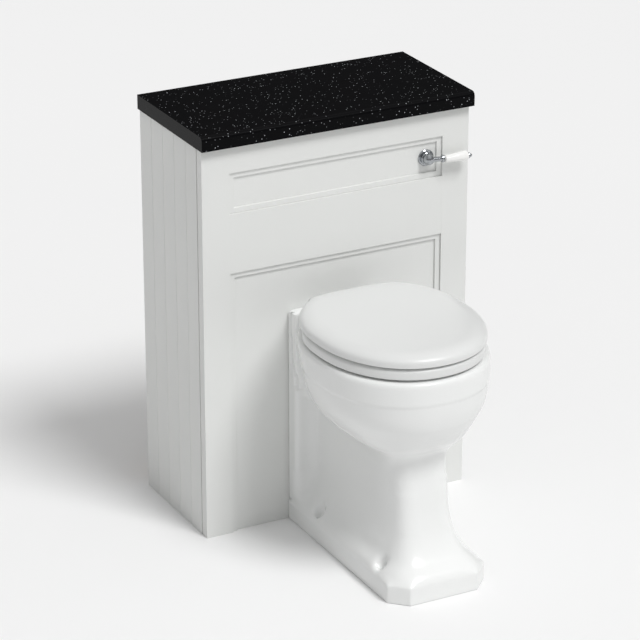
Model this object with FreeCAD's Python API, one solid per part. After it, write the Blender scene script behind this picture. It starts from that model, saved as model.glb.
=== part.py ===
"""Back to wall toilet unit: a painted cabinet with a stone top hides the cistern, and a china pan with a
seat and a lid stands against its front. Millimetres, +Z up, the front faces -Y, X = 0 is the middle plane,
and the origin is on the floor under the middle of the unit's box."""
import FreeCAD, Part
import math
import os

from FreeCAD import Vector

# Overall sizes
CABINET_WIDTH = 600.0
CABINET_DEPTH = 285.0
CABINET_HEIGHT = 840.0
PAN_PROJECTION = 450.0

# Worktop
WORKTOP_THICKNESS = 30.0
WORKTOP_FRONT_OVERHANG = 14.0
WORKTOP_SIDE_OVERHANG = 5.0
WORKTOP_EDGE_RADIUS = 9.0
BATTEN_WIDTH = 20.0
BATTEN_HEIGHT = 14.0
BATTEN_CLEARANCE = 0.5
BATTEN_SCREW_INSET = 30.0

# Cabinet sides and rails
SIDE_THICKNESS = 18.0
BOARD_COUNT = 5
GROOVE_WIDTH = 3.0
GROOVE_DEPTH = 2.0
SHADOW_GAP = 4.0
SHADOW_DEPTH = 5.0
RAIL_THICKNESS = 18.0
TOP_RAIL_DROP = 100.0
LOW_RAIL_BOTTOM = 20.0
LOW_RAIL_HEIGHT = 80.0
STRETCHER_DEPTH = 60.0
WALL_HOLE_RADIUS = 3.5
WALL_HOLE_INSET = 30.0
WALL_HOLE_DROP = 35.0

# Fascia frame, panels and beads
FRAME_THICKNESS = 20.0
STILE_WIDTH = 60.0
HEAD_RAIL_HEIGHT = 58.0
UPPER_RECESS_HEIGHT = 86.0
MID_RAIL_HEIGHT = 125.0
PANEL_SETBACK = 8.0
REBATE_WIDTH = 10.0
BEAD_WIDTH = 7.0
BEAD_SETBACK = 4.0
BEAD_ROUND = 2.5
DOWEL_RADIUS = 4.0
DOWEL_LENGTH = 40.0
DOWEL_EDGE = 14.0

# Corner blocks and their screws
BLOCK_SIZE = 20.0
BLOCK_LENGTH = 40.0
BLOCK_LOW = 100.0
BLOCK_SPAN = 320.0
BLOCK_ROWS = 3
SCREW_RADIUS = 1.75
SCREW_HEAD_RADIUS = 3.5
SCREW_HEAD_HEIGHT = 2.0
SCREW_BITE = 13.0

# Pan outside
RIM_HEIGHT = 466.0
RIM_BAND = 48.0
RIM_HALF_WIDTH = 176.0
RIM_FRONT = 447.0
RIM_EDGE_RADIUS = 9.0
PAN_MIDDLE = 232.0
PAN_TAIL = 24.0
BOWL_LIP = 1.5
BOWL_POWER = 2.2
BOWL_TAIL_POWER = 2.6
THROAT_HEIGHT = 256.0
BOWL_START = 16.0
BOWL_SOFTENING = 1.6
BOWL_STEPS = 6
BASIN_STEPS = 5
RIM_ROUND_STEPS = 3
CORE_SIDES = 16
CORE_STEPS = 3
PEDESTAL_HALF_WIDTH = 66.0
PEDESTAL_FRONT = 366.0
PEDESTAL_LEAN = 26.0
PEDESTAL_SECTIONS = 7
PEDESTAL_POWER = 5.0
PEDESTAL_TAIL_POWER = 8.0
FLARE_HEIGHT = 120.0
FLARE_POWER = 2.6
FOOT_HEIGHT = 44.0
FOOT_HALF_WIDTH = 110.0
FOOT_CHAMFER = 34.0
FOOT_LEDGE = 2.5
FLANGE_HALF_WIDTH = 100.0
FLANGE_DEPTH = 30.0
FLANGE_ROUND = 7.0
COVE_RADIUS = 36.0
OUTLINE_POINTS = 24

# Pan inside
CHINA_WALL = 10.0
OPENING_HALF_WIDTH = 128.0
OPENING_FRONT = 402.0
OPENING_BACK = 96.0
RIM_LIP_DEPTH = 34.0
RIM_UNDERCUT = 12.0
SUMP_RADIUS = 40.0
SUMP_BELLY = 0.25
SUMP_TOP = 222.0
TRAP_RADIUS = 34.0
TRAP_BEND = 45.0
TRAP_DIP_HEIGHT = 104.0
WEIR_HEIGHT = 224.0
TRAP_SWEEP = 60.0
OUTLET_HEIGHT = 180.0
OUTLET_RADIUS = 51.0
OUTLET_BORE = 42.0
OUTLET_LENGTH = 55.0
INLET_DROP = 74.0
INLET_RADIUS = 33.0
INLET_BORE = 27.0
INLET_LENGTH = 40.0
FLUSH_WAY_RADIUS = 17.0
PANEL_HOLE_CLEARANCE = 4.0

# Floor fixing pockets
FIXING_HALF_SPACING = 92.0
FIXING_BACK = 100.0
FIXING_SPACING = 258.0
FIXING_RADIUS = 4.0
POCKET_RADIUS = 13.0
POCKET_HEIGHT = 60.0

# Seat, lid and hinges
LID_HALF_WIDTH = 172.0
LID_FRONT = 442.0
LID_BACK = 46.0
LID_THICKNESS = 25.0
LID_EDGE = 7.0
LID_ROLL = 40.0
LID_SECTIONS = 7
LID_FRONT_POWER = 2.1
LID_BACK_POWER = 3.2
LID_GAP = 4.5
SEAT_THICKNESS = 21.0
SEAT_GAP = 5.0
SEAT_INSET = 1.5
SEAT_BACK_CLEARANCE = 1.0
SEAT_EDGE_RADIUS = 8.0
SEAT_LOWER_RADIUS = 3.0
SEAT_OPENING_HALF_WIDTH = 106.0
SEAT_OPENING_FRONT = 374.0
SEAT_OPENING_BACK = 128.0
HINGE_SETBACK = 12.0
HINGE_CLEARANCE = 1.5
HINGE_SPACING = 155.0
KNUCKLE_RADIUS = 8.0
KNUCKLE_WIDTH = 16.0
KNUCKLE_SIDE_GAP = 0.3
PIN_RADIUS = 4.0
PIN_CLEARANCE = 0.05
PIN_OVERHANG = 2.0
POST_BASE_RADIUS = 15.0
POST_BASE_HEIGHT = 8.0
HINGE_BOLT_RADIUS = 4.0
HINGE_BOLT_LENGTH = 40.0
HINGE_HOLE_RADIUS = 7.0
PLUG_FLANGE = 3.0
BUFFER_RADIUS = 8.0
BUFFER_STEM_RADIUS = 3.0
BUFFER_STEM_LENGTH = 8.0
BUFFER_CLEARANCE = 0.3

# Flush lever
LEVER_INSET = 28.0
LEVER_TILT = 8.0
ROSE_RADIUS = 17.5
ROSE_STEP_RADIUS = 13.5
ROSE_THICKNESS = 10.0
ROSE_BASE = 2.5
ROSE_ROUND = 1.5
BUSH_RADIUS = 8.0
BUSH_LENGTH = 34.0
BACKNUT_RADIUS = 15.0
BACKNUT_THICKNESS = 6.0
SPINDLE_RADIUS = 4.45
SPINDLE_CLEARANCE = 0.05
HUB_RADIUS = 11.0
HUB_LENGTH = 15.0
HUB_SKIRT = 5.0
HUB_FACETS = 6
ARM_OFFSET = 7.5
SPINDLE_GRIP = 9.0
HUB_CLEARANCE = 0.3
NECK_ROOT_RADIUS = 6.0
NECK_RADIUS = 5.0
NECK_REACH = 24.0
FERRULE_LENGTH = 7.0
FERRULE_RADIUS = 8.0
FERRULE_SLOPE = 2.0
GRIP_LENGTH = 52.0
GRIP_THIN_RADIUS = 7.4
GRIP_FAT_RADIUS = 10.2
GRIP_END_RADIUS = 7.0
GRIP_SWELL = ((0, 0), (0.25, 0.25), (0.6, 0.82), (0.8, 1), (0.93, 0.7))
STUD_RADIUS = 2.5
FINIAL_LENGTH = 9.0
FINIAL_RADIUS = 6.0
FINIAL_COLLAR = 3.0
FINIAL_BUTTON_RADIUS = 4.4
FINIAL_BITE = 4.5
CRANK_HUB_RADIUS = 9.0
CRANK_HUB_LENGTH = 16.0
CRANK_BAR_HEIGHT = 10.0
CRANK_BAR_THICKNESS = 5.0
CRANK_OVERREACH = 22.0
GROMMET_WALL = 6.0
GROMMET_FLANGE = 3.0

# Cistern
CISTERN_HEIGHT = 318.0
CISTERN_DEPTH = 134.0
CISTERN_WALL = 4.0
CISTERN_CORNER = 18.0
CISTERN_TOP_GAP = 16.0
CISTERN_LID_THICKNESS = 6.0
CISTERN_LIP_DEPTH = 8.0
CISTERN_SIDE_MARGIN = 34.0
CISTERN_SCREW_SPACING = 300.0
CISTERN_SCREW_DROP = 30.0
CISTERN_SCREW_RADIUS = 2.5
CISTERN_SCREW_HEAD = 6.0
CISTERN_HEAD_HEIGHT = 4.0

# Siphon
ROD_OFFSET = 75.0
BELL_RADIUS = 36.0
BELL_HEIGHT = 100.0
BELL_FOOT = 12.0
SIPHON_WALL = 3.0
LEG_RADIUS = 20.0
CROWN_HEIGHT = 52.0
CROWN_RISE = 24.0
TAIL_RADIUS = 24.0
TAIL_LENGTH = 42.0
TAIL_FLANGE = 32.0
WASHER_THICKNESS = 3.0
SIPHON_NUT_RADIUS = 32.0
SIPHON_NUT_THICKNESS = 10.0
SPIDER_BAR = 4.0
PISTON_THICKNESS = 4.0
PISTON_CLEARANCE = 0.5
PISTON_REST_GAP = 0.3
PISTON_HOLES = 6
PISTON_HOLE_RADIUS = 7.0
PISTON_HOLE_CIRCLE = 20.0
FLAP_THICKNESS = 1.5
ROD_RADIUS = 3.5
ROD_CLEARANCE = 0.3
LINK_WINDOW_UP = 7.5
LINK_WINDOW_DOWN = 8.5
LINK_WINDOW_HALF = 3.5
LINK_BAR = 4.0

# Flush pipe and soil connector
PIPE_RADIUS = 19.0
PIPE_WALL = 2.0
PIPE_BEND = 50.0
PIPE_SOCKET = 26.0
PIPE_NUT_RADIUS = 30.0
PIPE_NUT_HEIGHT = 20.0
CONE_LENGTH = 30.0
CONE_LIP = 4.0
SOIL_RADIUS = 55.0
SOIL_WALL = 4.0
SOIL_SEAL_WIDTH = 5.0
SOIL_SEAL_LENGTH = 14.0
SOIL_SOCKET_LENGTH = 46.0
SOIL_SETBACK = 40.0

# Fill valve and float
FILL_MARGIN = 36.0
FILL_TAIL_RADIUS = 10.48
FILL_TAIL_LENGTH = 36.0
FILL_RELIEF_RADIUS = 9.6
FILL_RELIEF_LENGTH = 2.0
FILL_SHANK_RADIUS = 11.0
FILL_NUT_RADIUS = 17.0
FILL_NUT_THICKNESS = 8.0
FILL_FLANGE_RADIUS = 17.0
FILL_FLANGE_THICKNESS = 4.0
FILL_COLUMN_RADIUS = 11.0
FILL_COLUMN_HEIGHT = 190.0
FILL_HEAD_RADIUS = 17.0
FILL_HEAD_HEIGHT = 36.0
FLOAT_PIVOT_REACH = 26.0
FLOAT_PIVOT_RADIUS = 3.0
FLOAT_ARM_LENGTH = 78.0
FLOAT_ARM_RADIUS = 3.0
FLOAT_DROOP = 40.0
FLOAT_RADIUS = 32.0
FLOAT_ROUND = 8.0
FLOAT_HEIGHT = 58.0
FLOAT_EYE_RADIUS = 7.0
FLOAT_EYE_WIDTH = 8.0
FORK_WALL = 4.0

# Planes and places that follow from the sizes
HALF_WIDTH = CABINET_WIDTH / 2
REAR_Y = (CABINET_DEPTH + PAN_PROJECTION) / 2
FACE_Y = REAR_Y - CABINET_DEPTH
PANEL_Y = FACE_Y + PANEL_SETBACK
FRAME_BACK_Y = FACE_Y + FRAME_THICKNESS
RAIL_FRONT_Y = REAR_Y - RAIL_THICKNESS
INNER_HALF = HALF_WIDTH - SIDE_THICKNESS
RECESS_HALF = HALF_WIDTH - STILE_WIDTH
UPPER_RECESS_TOP = CABINET_HEIGHT - HEAD_RAIL_HEIGHT
UPPER_RECESS_BOTTOM = UPPER_RECESS_TOP - UPPER_RECESS_HEIGHT
LOWER_RECESS_TOP = UPPER_RECESS_BOTTOM - MID_RAIL_HEIGHT
RIDGE_HEIGHT = RIM_HEIGHT - RIM_BAND
INLET_HEIGHT = RIM_HEIGHT - INLET_DROP
TRAP_FALL = math.acos(1 - (WEIR_HEIGHT - OUTLET_HEIGHT) / (2 * TRAP_SWEEP))
TRAP_BACK = 2 * TRAP_SWEEP * math.sin(TRAP_FALL)
SUMP_MIDDLE = 3 * TRAP_BEND + TRAP_BACK
SEAT_BOTTOM = RIM_HEIGHT + SEAT_GAP
SEAT_TOP = SEAT_BOTTOM + SEAT_THICKNESS
LID_BOTTOM = SEAT_TOP + LID_GAP
HINGE_AHEAD = LID_BACK + HINGE_SETBACK
HINGE_Z = LID_BOTTOM - KNUCKLE_RADIUS - HINGE_CLEARANCE
SEAT_BACK = HINGE_AHEAD + POST_BASE_RADIUS + SEAT_BACK_CLEARANCE
LEVER_X = RECESS_HALF - BEAD_WIDTH - LEVER_INSET
LEVER_Z = (UPPER_RECESS_TOP + UPPER_RECESS_BOTTOM) / 2
CISTERN_HALF = LEVER_X + CISTERN_SIDE_MARGIN
CISTERN_TOP = CABINET_HEIGHT - CISTERN_TOP_GAP - CISTERN_LID_THICKNESS
CISTERN_BOTTOM = CISTERN_TOP - CISTERN_HEIGHT
CISTERN_FLOOR = CISTERN_BOTTOM + CISTERN_WALL
CISTERN_FRONT_Y = RAIL_FRONT_Y - CISTERN_DEPTH
CISTERN_MID_Y = RAIL_FRONT_Y - CISTERN_DEPTH / 2
BELL_BOTTOM = CISTERN_FLOOR + BELL_FOOT
BELL_TOP = BELL_BOTTOM + BELL_HEIGHT
CROWN_BOTTOM = BELL_TOP + CROWN_RISE
CROWN_TOP = CROWN_BOTTOM + CROWN_HEIGHT
PISTON_BOTTOM = BELL_BOTTOM + SPIDER_BAR + PISTON_REST_GAP
TAIL_BOTTOM = CISTERN_BOTTOM - TAIL_LENGTH
FILL_TOP = CISTERN_FLOOR + FILL_COLUMN_HEIGHT
FILL_X = FILL_MARGIN - CISTERN_HALF
FLOAT_PIVOT_X = FILL_X + FLOAT_PIVOT_REACH
FLOAT_PIVOT_Z = FILL_TOP + FILL_HEAD_HEIGHT / 2

JOIN = 0.0001
RIGHT = Vector(1, 0, 0)
BACK = Vector(0, 1, 0)
OUTWARD = Vector(0, -1, 0)
UP = Vector(0, 0, 1)


def ahead(distance):
    """Y of a point this far in front of the fascia's face."""
    return FACE_Y - distance


def block(x0, x1, y0, y1, z0, z1):
    return Part.makeBox(x1 - x0, y1 - y0, z1 - z0, Vector(x0, y0, z0))


def rod(radius, start, axis, length):
    return Part.makeCylinder(radius, length, start, axis)


def tube(outer, inner, start, axis, length):
    return rod(outer, start, axis, length).cut(rod(inner, start, axis, length))


def hexagon(radius, bore, start, length):
    """Upright hexagon nut round a bore, by the radius of its corners."""
    corners = [Vector(radius, 0, 0)]
    for turn in range(1, 7):
        angle = math.radians(60 * turn)
        corners.append(Vector(radius * math.cos(angle), radius * math.sin(angle), 0))
    nut = Part.Face(Part.makePolygon(corners)).extrude(UP * length)
    nut.translate(start)
    return nut.cut(rod(bore, start, UP, length))


def mirrored(shape):
    return shape.mirror(Vector(0, 0, 0), RIGHT)


def turned(profile, origin, axis, side):
    """Solid of revolution from (along, radius) corners that start and end on the axis."""
    points = []
    for along, radius in profile:
        points.append(origin + axis * along + side * radius)
    face = Part.Face(Part.makePolygon(points + [points[0]]))
    return face.revolve(origin, axis, 360)


def egg_points(turns, half_width, front, back, z, front_power, back_power, middle=PAN_MIDDLE):
    """Points round two half superellipses that meet at the widest line, at height z."""
    points = []
    for turn in turns:
        across = math.cos(turn)
        along = math.sin(turn)
        power = front_power if along >= 0 else back_power
        reach = front - middle if along >= 0 else middle - back
        radius = (abs(across) ** power + abs(along) ** power) ** (-1 / power)
        points.append(Vector(half_width * radius * across, ahead(middle + reach * radius * along), z))
    return points


def egg(*section):
    """Smooth closed outline of an egg section."""
    turns = [2 * math.pi * step / OUTLINE_POINTS for step in range(OUTLINE_POINTS + 1)]
    curve = Part.BSplineCurve()
    curve.interpolate(egg_points(turns[:-1], *section), PeriodicFlag=True, Parameters=turns)
    return Part.Wire(curve.toShape())


def core_egg(*section):
    """Flat-sided closed outline of an egg section, for the core of the casting."""
    turns = [2 * math.pi * step / CORE_SIDES for step in range(CORE_SIDES)]
    corners = egg_points(turns, *section)
    return Part.makePolygon(corners + [corners[0]])


def slab(outline, height):
    return Part.Face(outline).extrude(UP * height)


def loft(wires, flat_sided=False):
    """Solid through outlines, smooth or flat-sided, with its faces turned outwards."""
    body = Part.makeLoft(wires, True, flat_sided)
    if body.Volume < 0:
        body.reverse()
    return body


def edges_at(shape, z):
    """Edges of a shape that lie flat at one height."""
    found = []
    for edge in shape.Edges:
        box = edge.BoundBox
        if abs(box.ZMin - z) < 0.01 and abs(box.ZMax - z) < 0.01:
            found.append(edge)
    return found


def pipe(points, bends, radius):
    """Round bar along straight runs and tangent arcs, through corner points and their bend radii."""
    edges = []
    start = points[0]
    for last, corner, following, bend in zip(points, points[1:], points[2:], bends):
        coming = (corner - last).normalize()
        going = (following - corner).normalize()
        half_turn = coming.getAngle(going) / 2
        inset = bend * math.tan(half_turn)
        enter = corner - coming * inset
        leave = corner + going * inset
        toward = (going - coming).normalize()
        middle = corner + toward * (bend / math.cos(half_turn) - bend)
        if (enter - start).Length > JOIN:
            edges.append(Part.LineSegment(start, enter).toShape())
        edges.append(Part.Arc(enter, middle, leave).toShape())
        start = leave
    edges.append(Part.LineSegment(start, points[-1]).toShape())
    ring = Part.Wire(Part.makeCircle(radius, points[0], points[1] - points[0]))
    return Part.Wire(edges).makePipeShell([ring], True, False)


def save(name, *solids):
    shape = solids[0] if len(solids) == 1 else Part.makeCompound(list(solids))
    shape.exportStep(os.path.join("parts", name + ".step"))
    print(name, len(shape.Solids), round(shape.Volume), shape.isValid())


def side_panel():
    """Right-hand side panel, grooved like upright boards, with a shadow gap behind the fascia."""
    panel = block(INNER_HALF, HALF_WIDTH, FRAME_BACK_Y, REAR_Y, 0, CABINET_HEIGHT)
    gap_x = HALF_WIDTH - SHADOW_DEPTH
    panel = panel.cut(block(gap_x, HALF_WIDTH, FRAME_BACK_Y, FRAME_BACK_Y + SHADOW_GAP, 0, CABINET_HEIGHT))
    board = (REAR_Y - FRAME_BACK_Y) / BOARD_COUNT
    for seam in range(1, BOARD_COUNT):
        y = FRAME_BACK_Y + board * seam
        corners = [
            Vector(HALF_WIDTH, y - GROOVE_WIDTH / 2, 0),
            Vector(HALF_WIDTH - GROOVE_DEPTH, y, 0),
            Vector(HALF_WIDTH, y + GROOVE_WIDTH / 2, 0),
        ]
        groove = Part.Face(Part.makePolygon(corners + [corners[0]])).extrude(UP * CABINET_HEIGHT)
        panel = panel.cut(groove)
    return panel


def panel_block(top, bottom):
    """Space of an inset panel: the recess and the rebate round it, behind the panel's face."""
    half = RECESS_HALF + REBATE_WIDTH
    low = max(bottom - REBATE_WIDTH, 0)
    return block(-half, half, PANEL_Y, FRAME_BACK_Y, low, top + REBATE_WIDTH)


UPPER_PANEL = panel_block(UPPER_RECESS_TOP, UPPER_RECESS_BOTTOM)
LOWER_PANEL = panel_block(LOWER_RECESS_TOP, 0)


def frame_dowels():
    """Dowels that join the two rails to the stiles, two at each end."""
    dowels = []
    for bottom, top in ((UPPER_RECESS_TOP, CABINET_HEIGHT), (LOWER_RECESS_TOP, UPPER_RECESS_BOTTOM)):
        inset = REBATE_WIDTH + DOWEL_EDGE
        for z in (bottom + inset, top - (inset if top < CABINET_HEIGHT else DOWEL_EDGE)):
            for side in (-1, 1):
                start = Vector(side * RECESS_HALF - DOWEL_LENGTH / 2, FACE_Y + FRAME_THICKNESS / 2, z)
                dowels.append(rod(DOWEL_RADIUS, start, RIGHT, DOWEL_LENGTH))
    return dowels


def frame_bar(x0, x1, z0, z1):
    """One stile or rail, rebated behind for the panels and bored for the dowels."""
    bar = block(x0, x1, FACE_Y, FRAME_BACK_Y, z0, z1)
    return bar.cut([UPPER_PANEL, LOWER_PANEL] + frame_dowels())


def bead(top, bottom):
    """Stepped moulding round the inside of a recess; at the floor it stays open."""
    y0 = FACE_Y + BEAD_SETBACK
    low = bottom if bottom > 0 else -BEAD_WIDTH
    inner_half = RECESS_HALF - BEAD_WIDTH
    ring = block(-RECESS_HALF, RECESS_HALF, y0, PANEL_Y, low, top)
    ring = ring.cut(block(-inner_half, inner_half, y0, PANEL_Y, low + BEAD_WIDTH, top - BEAD_WIDTH))
    soft = []
    for edge in ring.Edges:
        middle = edge.CenterOfMass
        inside = abs(middle.x) < inner_half + 0.01 and low < middle.z < top - 0.01
        if inside and abs(middle.y - y0) < 0.01:
            soft.append(edge)
    ring = ring.makeFillet(BEAD_ROUND, soft)
    if bottom > 0:
        return ring
    return ring.cut(block(-RECESS_HALF, RECESS_HALF, y0, PANEL_Y, low, 0))


def corner_screw(head, axis):
    """Wood screw: a flat head on the block and a shank through it into the board."""
    shank = rod(SCREW_RADIUS, head, axis, BLOCK_SIZE + SCREW_BITE)
    return shank.fuse(rod(SCREW_HEAD_RADIUS, head - axis * SCREW_HEAD_HEIGHT, axis, SCREW_HEAD_HEIGHT))


def corner_blocks():
    """Plastic blocks in the cabinet's corners, and the two screws of each."""
    places = []
    for row in range(BLOCK_ROWS):
        places.append((FRAME_BACK_Y, -1, BLOCK_LOW + BLOCK_SPAN * row))
    places.append((RAIL_FRONT_Y - BLOCK_SIZE, 1, LOW_RAIL_BOTTOM + (LOW_RAIL_HEIGHT - BLOCK_LENGTH) / 2))
    places.append((RAIL_FRONT_Y - BLOCK_SIZE, 1, CABINET_HEIGHT - TOP_RAIL_DROP))
    blocks = []
    screws = []
    for y, facing, z in places:
        body = block(INNER_HALF - BLOCK_SIZE, INNER_HALF, y, y + BLOCK_SIZE, z, z + BLOCK_LENGTH)
        middle = y + BLOCK_SIZE / 2
        open_side = middle - facing * BLOCK_SIZE / 2
        across = corner_screw(Vector(INNER_HALF - BLOCK_SIZE, middle, z + BLOCK_LENGTH / 4), RIGHT)
        along = corner_screw(
            Vector(INNER_HALF - BLOCK_SIZE / 2, open_side, z + BLOCK_LENGTH * 3 / 4), BACK * facing)
        body = body.cut([across, along])
        blocks += [body, mirrored(body)]
        screws += [across, along, mirrored(across), mirrored(along)]
    return blocks, screws


def back_rail(bottom, height):
    return block(-INNER_HALF, INNER_HALF, RAIL_FRONT_Y, REAR_Y, bottom, bottom + height)


def wall_holes():
    """Holes near the ends of the top rail, clear of the cistern, for the screws into the wall."""
    holes = []
    for side in (-1, 1):
        start = Vector(side * (INNER_HALF - WALL_HOLE_INSET), RAIL_FRONT_Y, CABINET_HEIGHT - WALL_HOLE_DROP)
        holes.append(rod(WALL_HOLE_RADIUS, start, BACK, RAIL_THICKNESS))
    return holes


def worktop():
    """Stone slab with its upper front edge rounded."""
    half = HALF_WIDTH + WORKTOP_SIDE_OVERHANG
    front = FACE_Y - WORKTOP_FRONT_OVERHANG
    top = CABINET_HEIGHT + WORKTOP_THICKNESS
    slab_shape = block(-half, half, front, REAR_Y, CABINET_HEIGHT, top)
    edges = [edge for edge in edges_at(slab_shape, top) if abs(edge.CenterOfMass.y - front) < 0.01]
    return slab_shape.makeFillet(WORKTOP_EDGE_RADIUS, edges)


def battens():
    """Strips under the worktop that drop between the side panels, with the screws that hold them."""
    x1 = INNER_HALF - BATTEN_CLEARANCE
    y0 = FRAME_BACK_Y + STRETCHER_DEPTH + BATTEN_CLEARANCE
    y1 = RAIL_FRONT_Y - BATTEN_CLEARANCE
    strip = block(x1 - BATTEN_WIDTH, x1, y0, y1, CABINET_HEIGHT - BATTEN_HEIGHT, CABINET_HEIGHT)
    screws = []
    for y in (y0 + BATTEN_SCREW_INSET, y1 - BATTEN_SCREW_INSET):
        head = Vector(x1 - BATTEN_WIDTH / 2, y, CABINET_HEIGHT - BATTEN_HEIGHT)
        shank = rod(SCREW_RADIUS, head, UP, BATTEN_HEIGHT + SCREW_BITE)
        screw = shank.fuse(rod(SCREW_HEAD_RADIUS, head - UP * SCREW_HEAD_HEIGHT, UP, SCREW_HEAD_HEIGHT))
        strip = strip.cut(screw)
        screws += [screw, mirrored(screw)]
    return [strip, mirrored(strip)], screws


def pedestal_section(z, inset):
    """Egg section of the stem at a height, drawn in by a wall: it leans and flares out on to the foot."""
    flare_top = FOOT_HEIGHT + FLARE_HEIGHT
    down = min(1.0, (THROAT_HEIGHT - z) / (THROAT_HEIGHT - FOOT_HEIGHT))
    spread = min(1.0, max(0.0, (flare_top - z) / FLARE_HEIGHT)) ** FLARE_POWER
    upright_front = PEDESTAL_FRONT + PEDESTAL_LEAN * down
    half = PEDESTAL_HALF_WIDTH + (FOOT_HALF_WIDTH - FOOT_LEDGE - PEDESTAL_HALF_WIDTH) * spread
    front = upright_front + (PAN_PROJECTION - FOOT_LEDGE - upright_front) * spread
    return half - inset, front - inset, -PAN_TAIL, z, PEDESTAL_POWER, PEDESTAL_TAIL_POWER


def pedestal():
    """Stem of the pan from the foot to the throat."""
    flare_top = FOOT_HEIGHT + FLARE_HEIGHT
    heights = [FOOT_HEIGHT - FOOT_LEDGE]
    for step in range(PEDESTAL_SECTIONS):
        heights.append(FOOT_HEIGHT + FLARE_HEIGHT * step / (PEDESTAL_SECTIONS - 1))
    heights += [(flare_top + THROAT_HEIGHT) / 2, THROAT_HEIGHT]
    return loft([egg(*pedestal_section(z, 0)) for z in heights])


def bowl_section(share, inset):
    """Egg section of the bowl's outside, from the throat at 0 to the ridge at 1, drawn in by a wall."""
    start = math.radians(BOWL_START)
    turn = start + (math.pi / 2 - start) * share
    swell = (math.sin(turn) - math.sin(start)) / (1 - math.sin(start))
    climb = 1 - math.cos(turn) / math.cos(start)
    half = PEDESTAL_HALF_WIDTH + (RIM_HALF_WIDTH - BOWL_LIP - PEDESTAL_HALF_WIDTH) * swell
    front = PEDESTAL_FRONT + (RIM_FRONT - BOWL_LIP - PEDESTAL_FRONT) * swell
    tail = PAN_TAIL - BOWL_LIP * swell
    soft = min(1.0, BOWL_SOFTENING * swell)
    power = PEDESTAL_POWER + (BOWL_POWER - PEDESTAL_POWER) * soft
    tail_power = PEDESTAL_TAIL_POWER + (BOWL_TAIL_POWER - PEDESTAL_TAIL_POWER) * soft
    z = THROAT_HEIGHT + (RIDGE_HEIGHT - THROAT_HEIGHT) * climb
    return half - inset, front - inset, -tail, z, power, tail_power


def bowl_outside():
    """Outside of the bowl from the throat to the ridge: it swells like an egg."""
    return loft([egg(*bowl_section(step / BOWL_STEPS, 0)) for step in range(BOWL_STEPS + 1)])


def rim_section(inset, z):
    """Egg section of the rim's outside at a height."""
    return RIM_HALF_WIDTH - inset, RIM_FRONT - inset, -PAN_TAIL, z, BOWL_POWER, BOWL_TAIL_POWER


def rim_band():
    """Upright band above the ridge, with its top edge rounded in a few narrow bands."""
    wires = [egg(*rim_section(0, RIDGE_HEIGHT))]
    for step in range(RIM_ROUND_STEPS + 1):
        turn = math.pi / 2 * step / RIM_ROUND_STEPS
        inset = RIM_EDGE_RADIUS * (1 - math.cos(turn))
        wires.append(egg(*rim_section(inset, RIM_HEIGHT - RIM_EDGE_RADIUS * (1 - math.sin(turn)))))
    return loft(wires, True)


def foot(inset, height):
    """Plinth with its two front corners cut off, drawn in by a wall."""
    half = FOOT_HALF_WIDTH - inset
    reach = PAN_PROJECTION - inset
    cut = FOOT_CHAMFER - inset * (2 - math.sqrt(2))
    corners = [
        Vector(-half, PANEL_Y, 0),
        Vector(-half, ahead(reach - cut), 0),
        Vector(-half + cut, ahead(reach), 0),
        Vector(half - cut, ahead(reach), 0),
        Vector(half, ahead(reach - cut), 0),
        Vector(half, PANEL_Y, 0),
    ]
    return Part.Face(Part.makePolygon(corners + [corners[0]])).extrude(UP * height)


def flange():
    """Upright back of the pan that meets the fascia panel."""
    plate = block(-FLANGE_HALF_WIDTH, FLANGE_HALF_WIDTH, ahead(FLANGE_DEPTH), PANEL_Y, 0, RIM_HEIGHT)
    soft = []
    for edge in plate.Edges:
        middle = edge.CenterOfMass
        upright = abs(middle.z - RIM_HEIGHT / 2) < 0.01 and abs(middle.y - ahead(FLANGE_DEPTH)) < 0.01
        shoulder = abs(middle.z - RIM_HEIGHT) < 0.01 and abs(abs(middle.x) - FLANGE_HALF_WIDTH) < 0.01
        if upright or shoulder:
            soft.append(edge)
    return plate.makeFillet(FLANGE_ROUND, soft)


def cove():
    """Hollow sweep between the right side of the pedestal and the back flange."""
    inner = PEDESTAL_HALF_WIDTH - CHINA_WALL
    y = ahead(FLANGE_DEPTH - FLANGE_ROUND)
    x = PEDESTAL_HALF_WIDTH + COVE_RADIUS - FLANGE_ROUND
    top = RIDGE_HEIGHT
    corner = block(inner, x, y - COVE_RADIUS - FLANGE_ROUND, y, FOOT_HEIGHT / 2, top)
    hollow = rod(COVE_RADIUS, Vector(x, y - FLANGE_ROUND - COVE_RADIUS, 0), UP, top)
    return corner.cut(hollow)


def trap_way(radius):
    """Water way from the sump, down through the dip, over the weir and out at the back."""
    up_leg = SUMP_MIDDLE - 2 * TRAP_BEND
    tangent = TRAP_SWEEP * math.tan(TRAP_FALL / 2)
    points = [
        Vector(0, ahead(SUMP_MIDDLE), SUMP_TOP),
        Vector(0, ahead(SUMP_MIDDLE), TRAP_DIP_HEIGHT),
        Vector(0, ahead(up_leg), TRAP_DIP_HEIGHT),
        Vector(0, ahead(up_leg), WEIR_HEIGHT),
        Vector(0, ahead(TRAP_BACK - tangent), WEIR_HEIGHT),
        Vector(0, ahead(tangent), OUTLET_HEIGHT),
        Vector(0, PANEL_Y + PANEL_SETBACK, OUTLET_HEIGHT),
    ]
    return pipe(points, [TRAP_BEND, TRAP_BEND, TRAP_BEND, TRAP_SWEEP, TRAP_SWEEP], radius)


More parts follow.
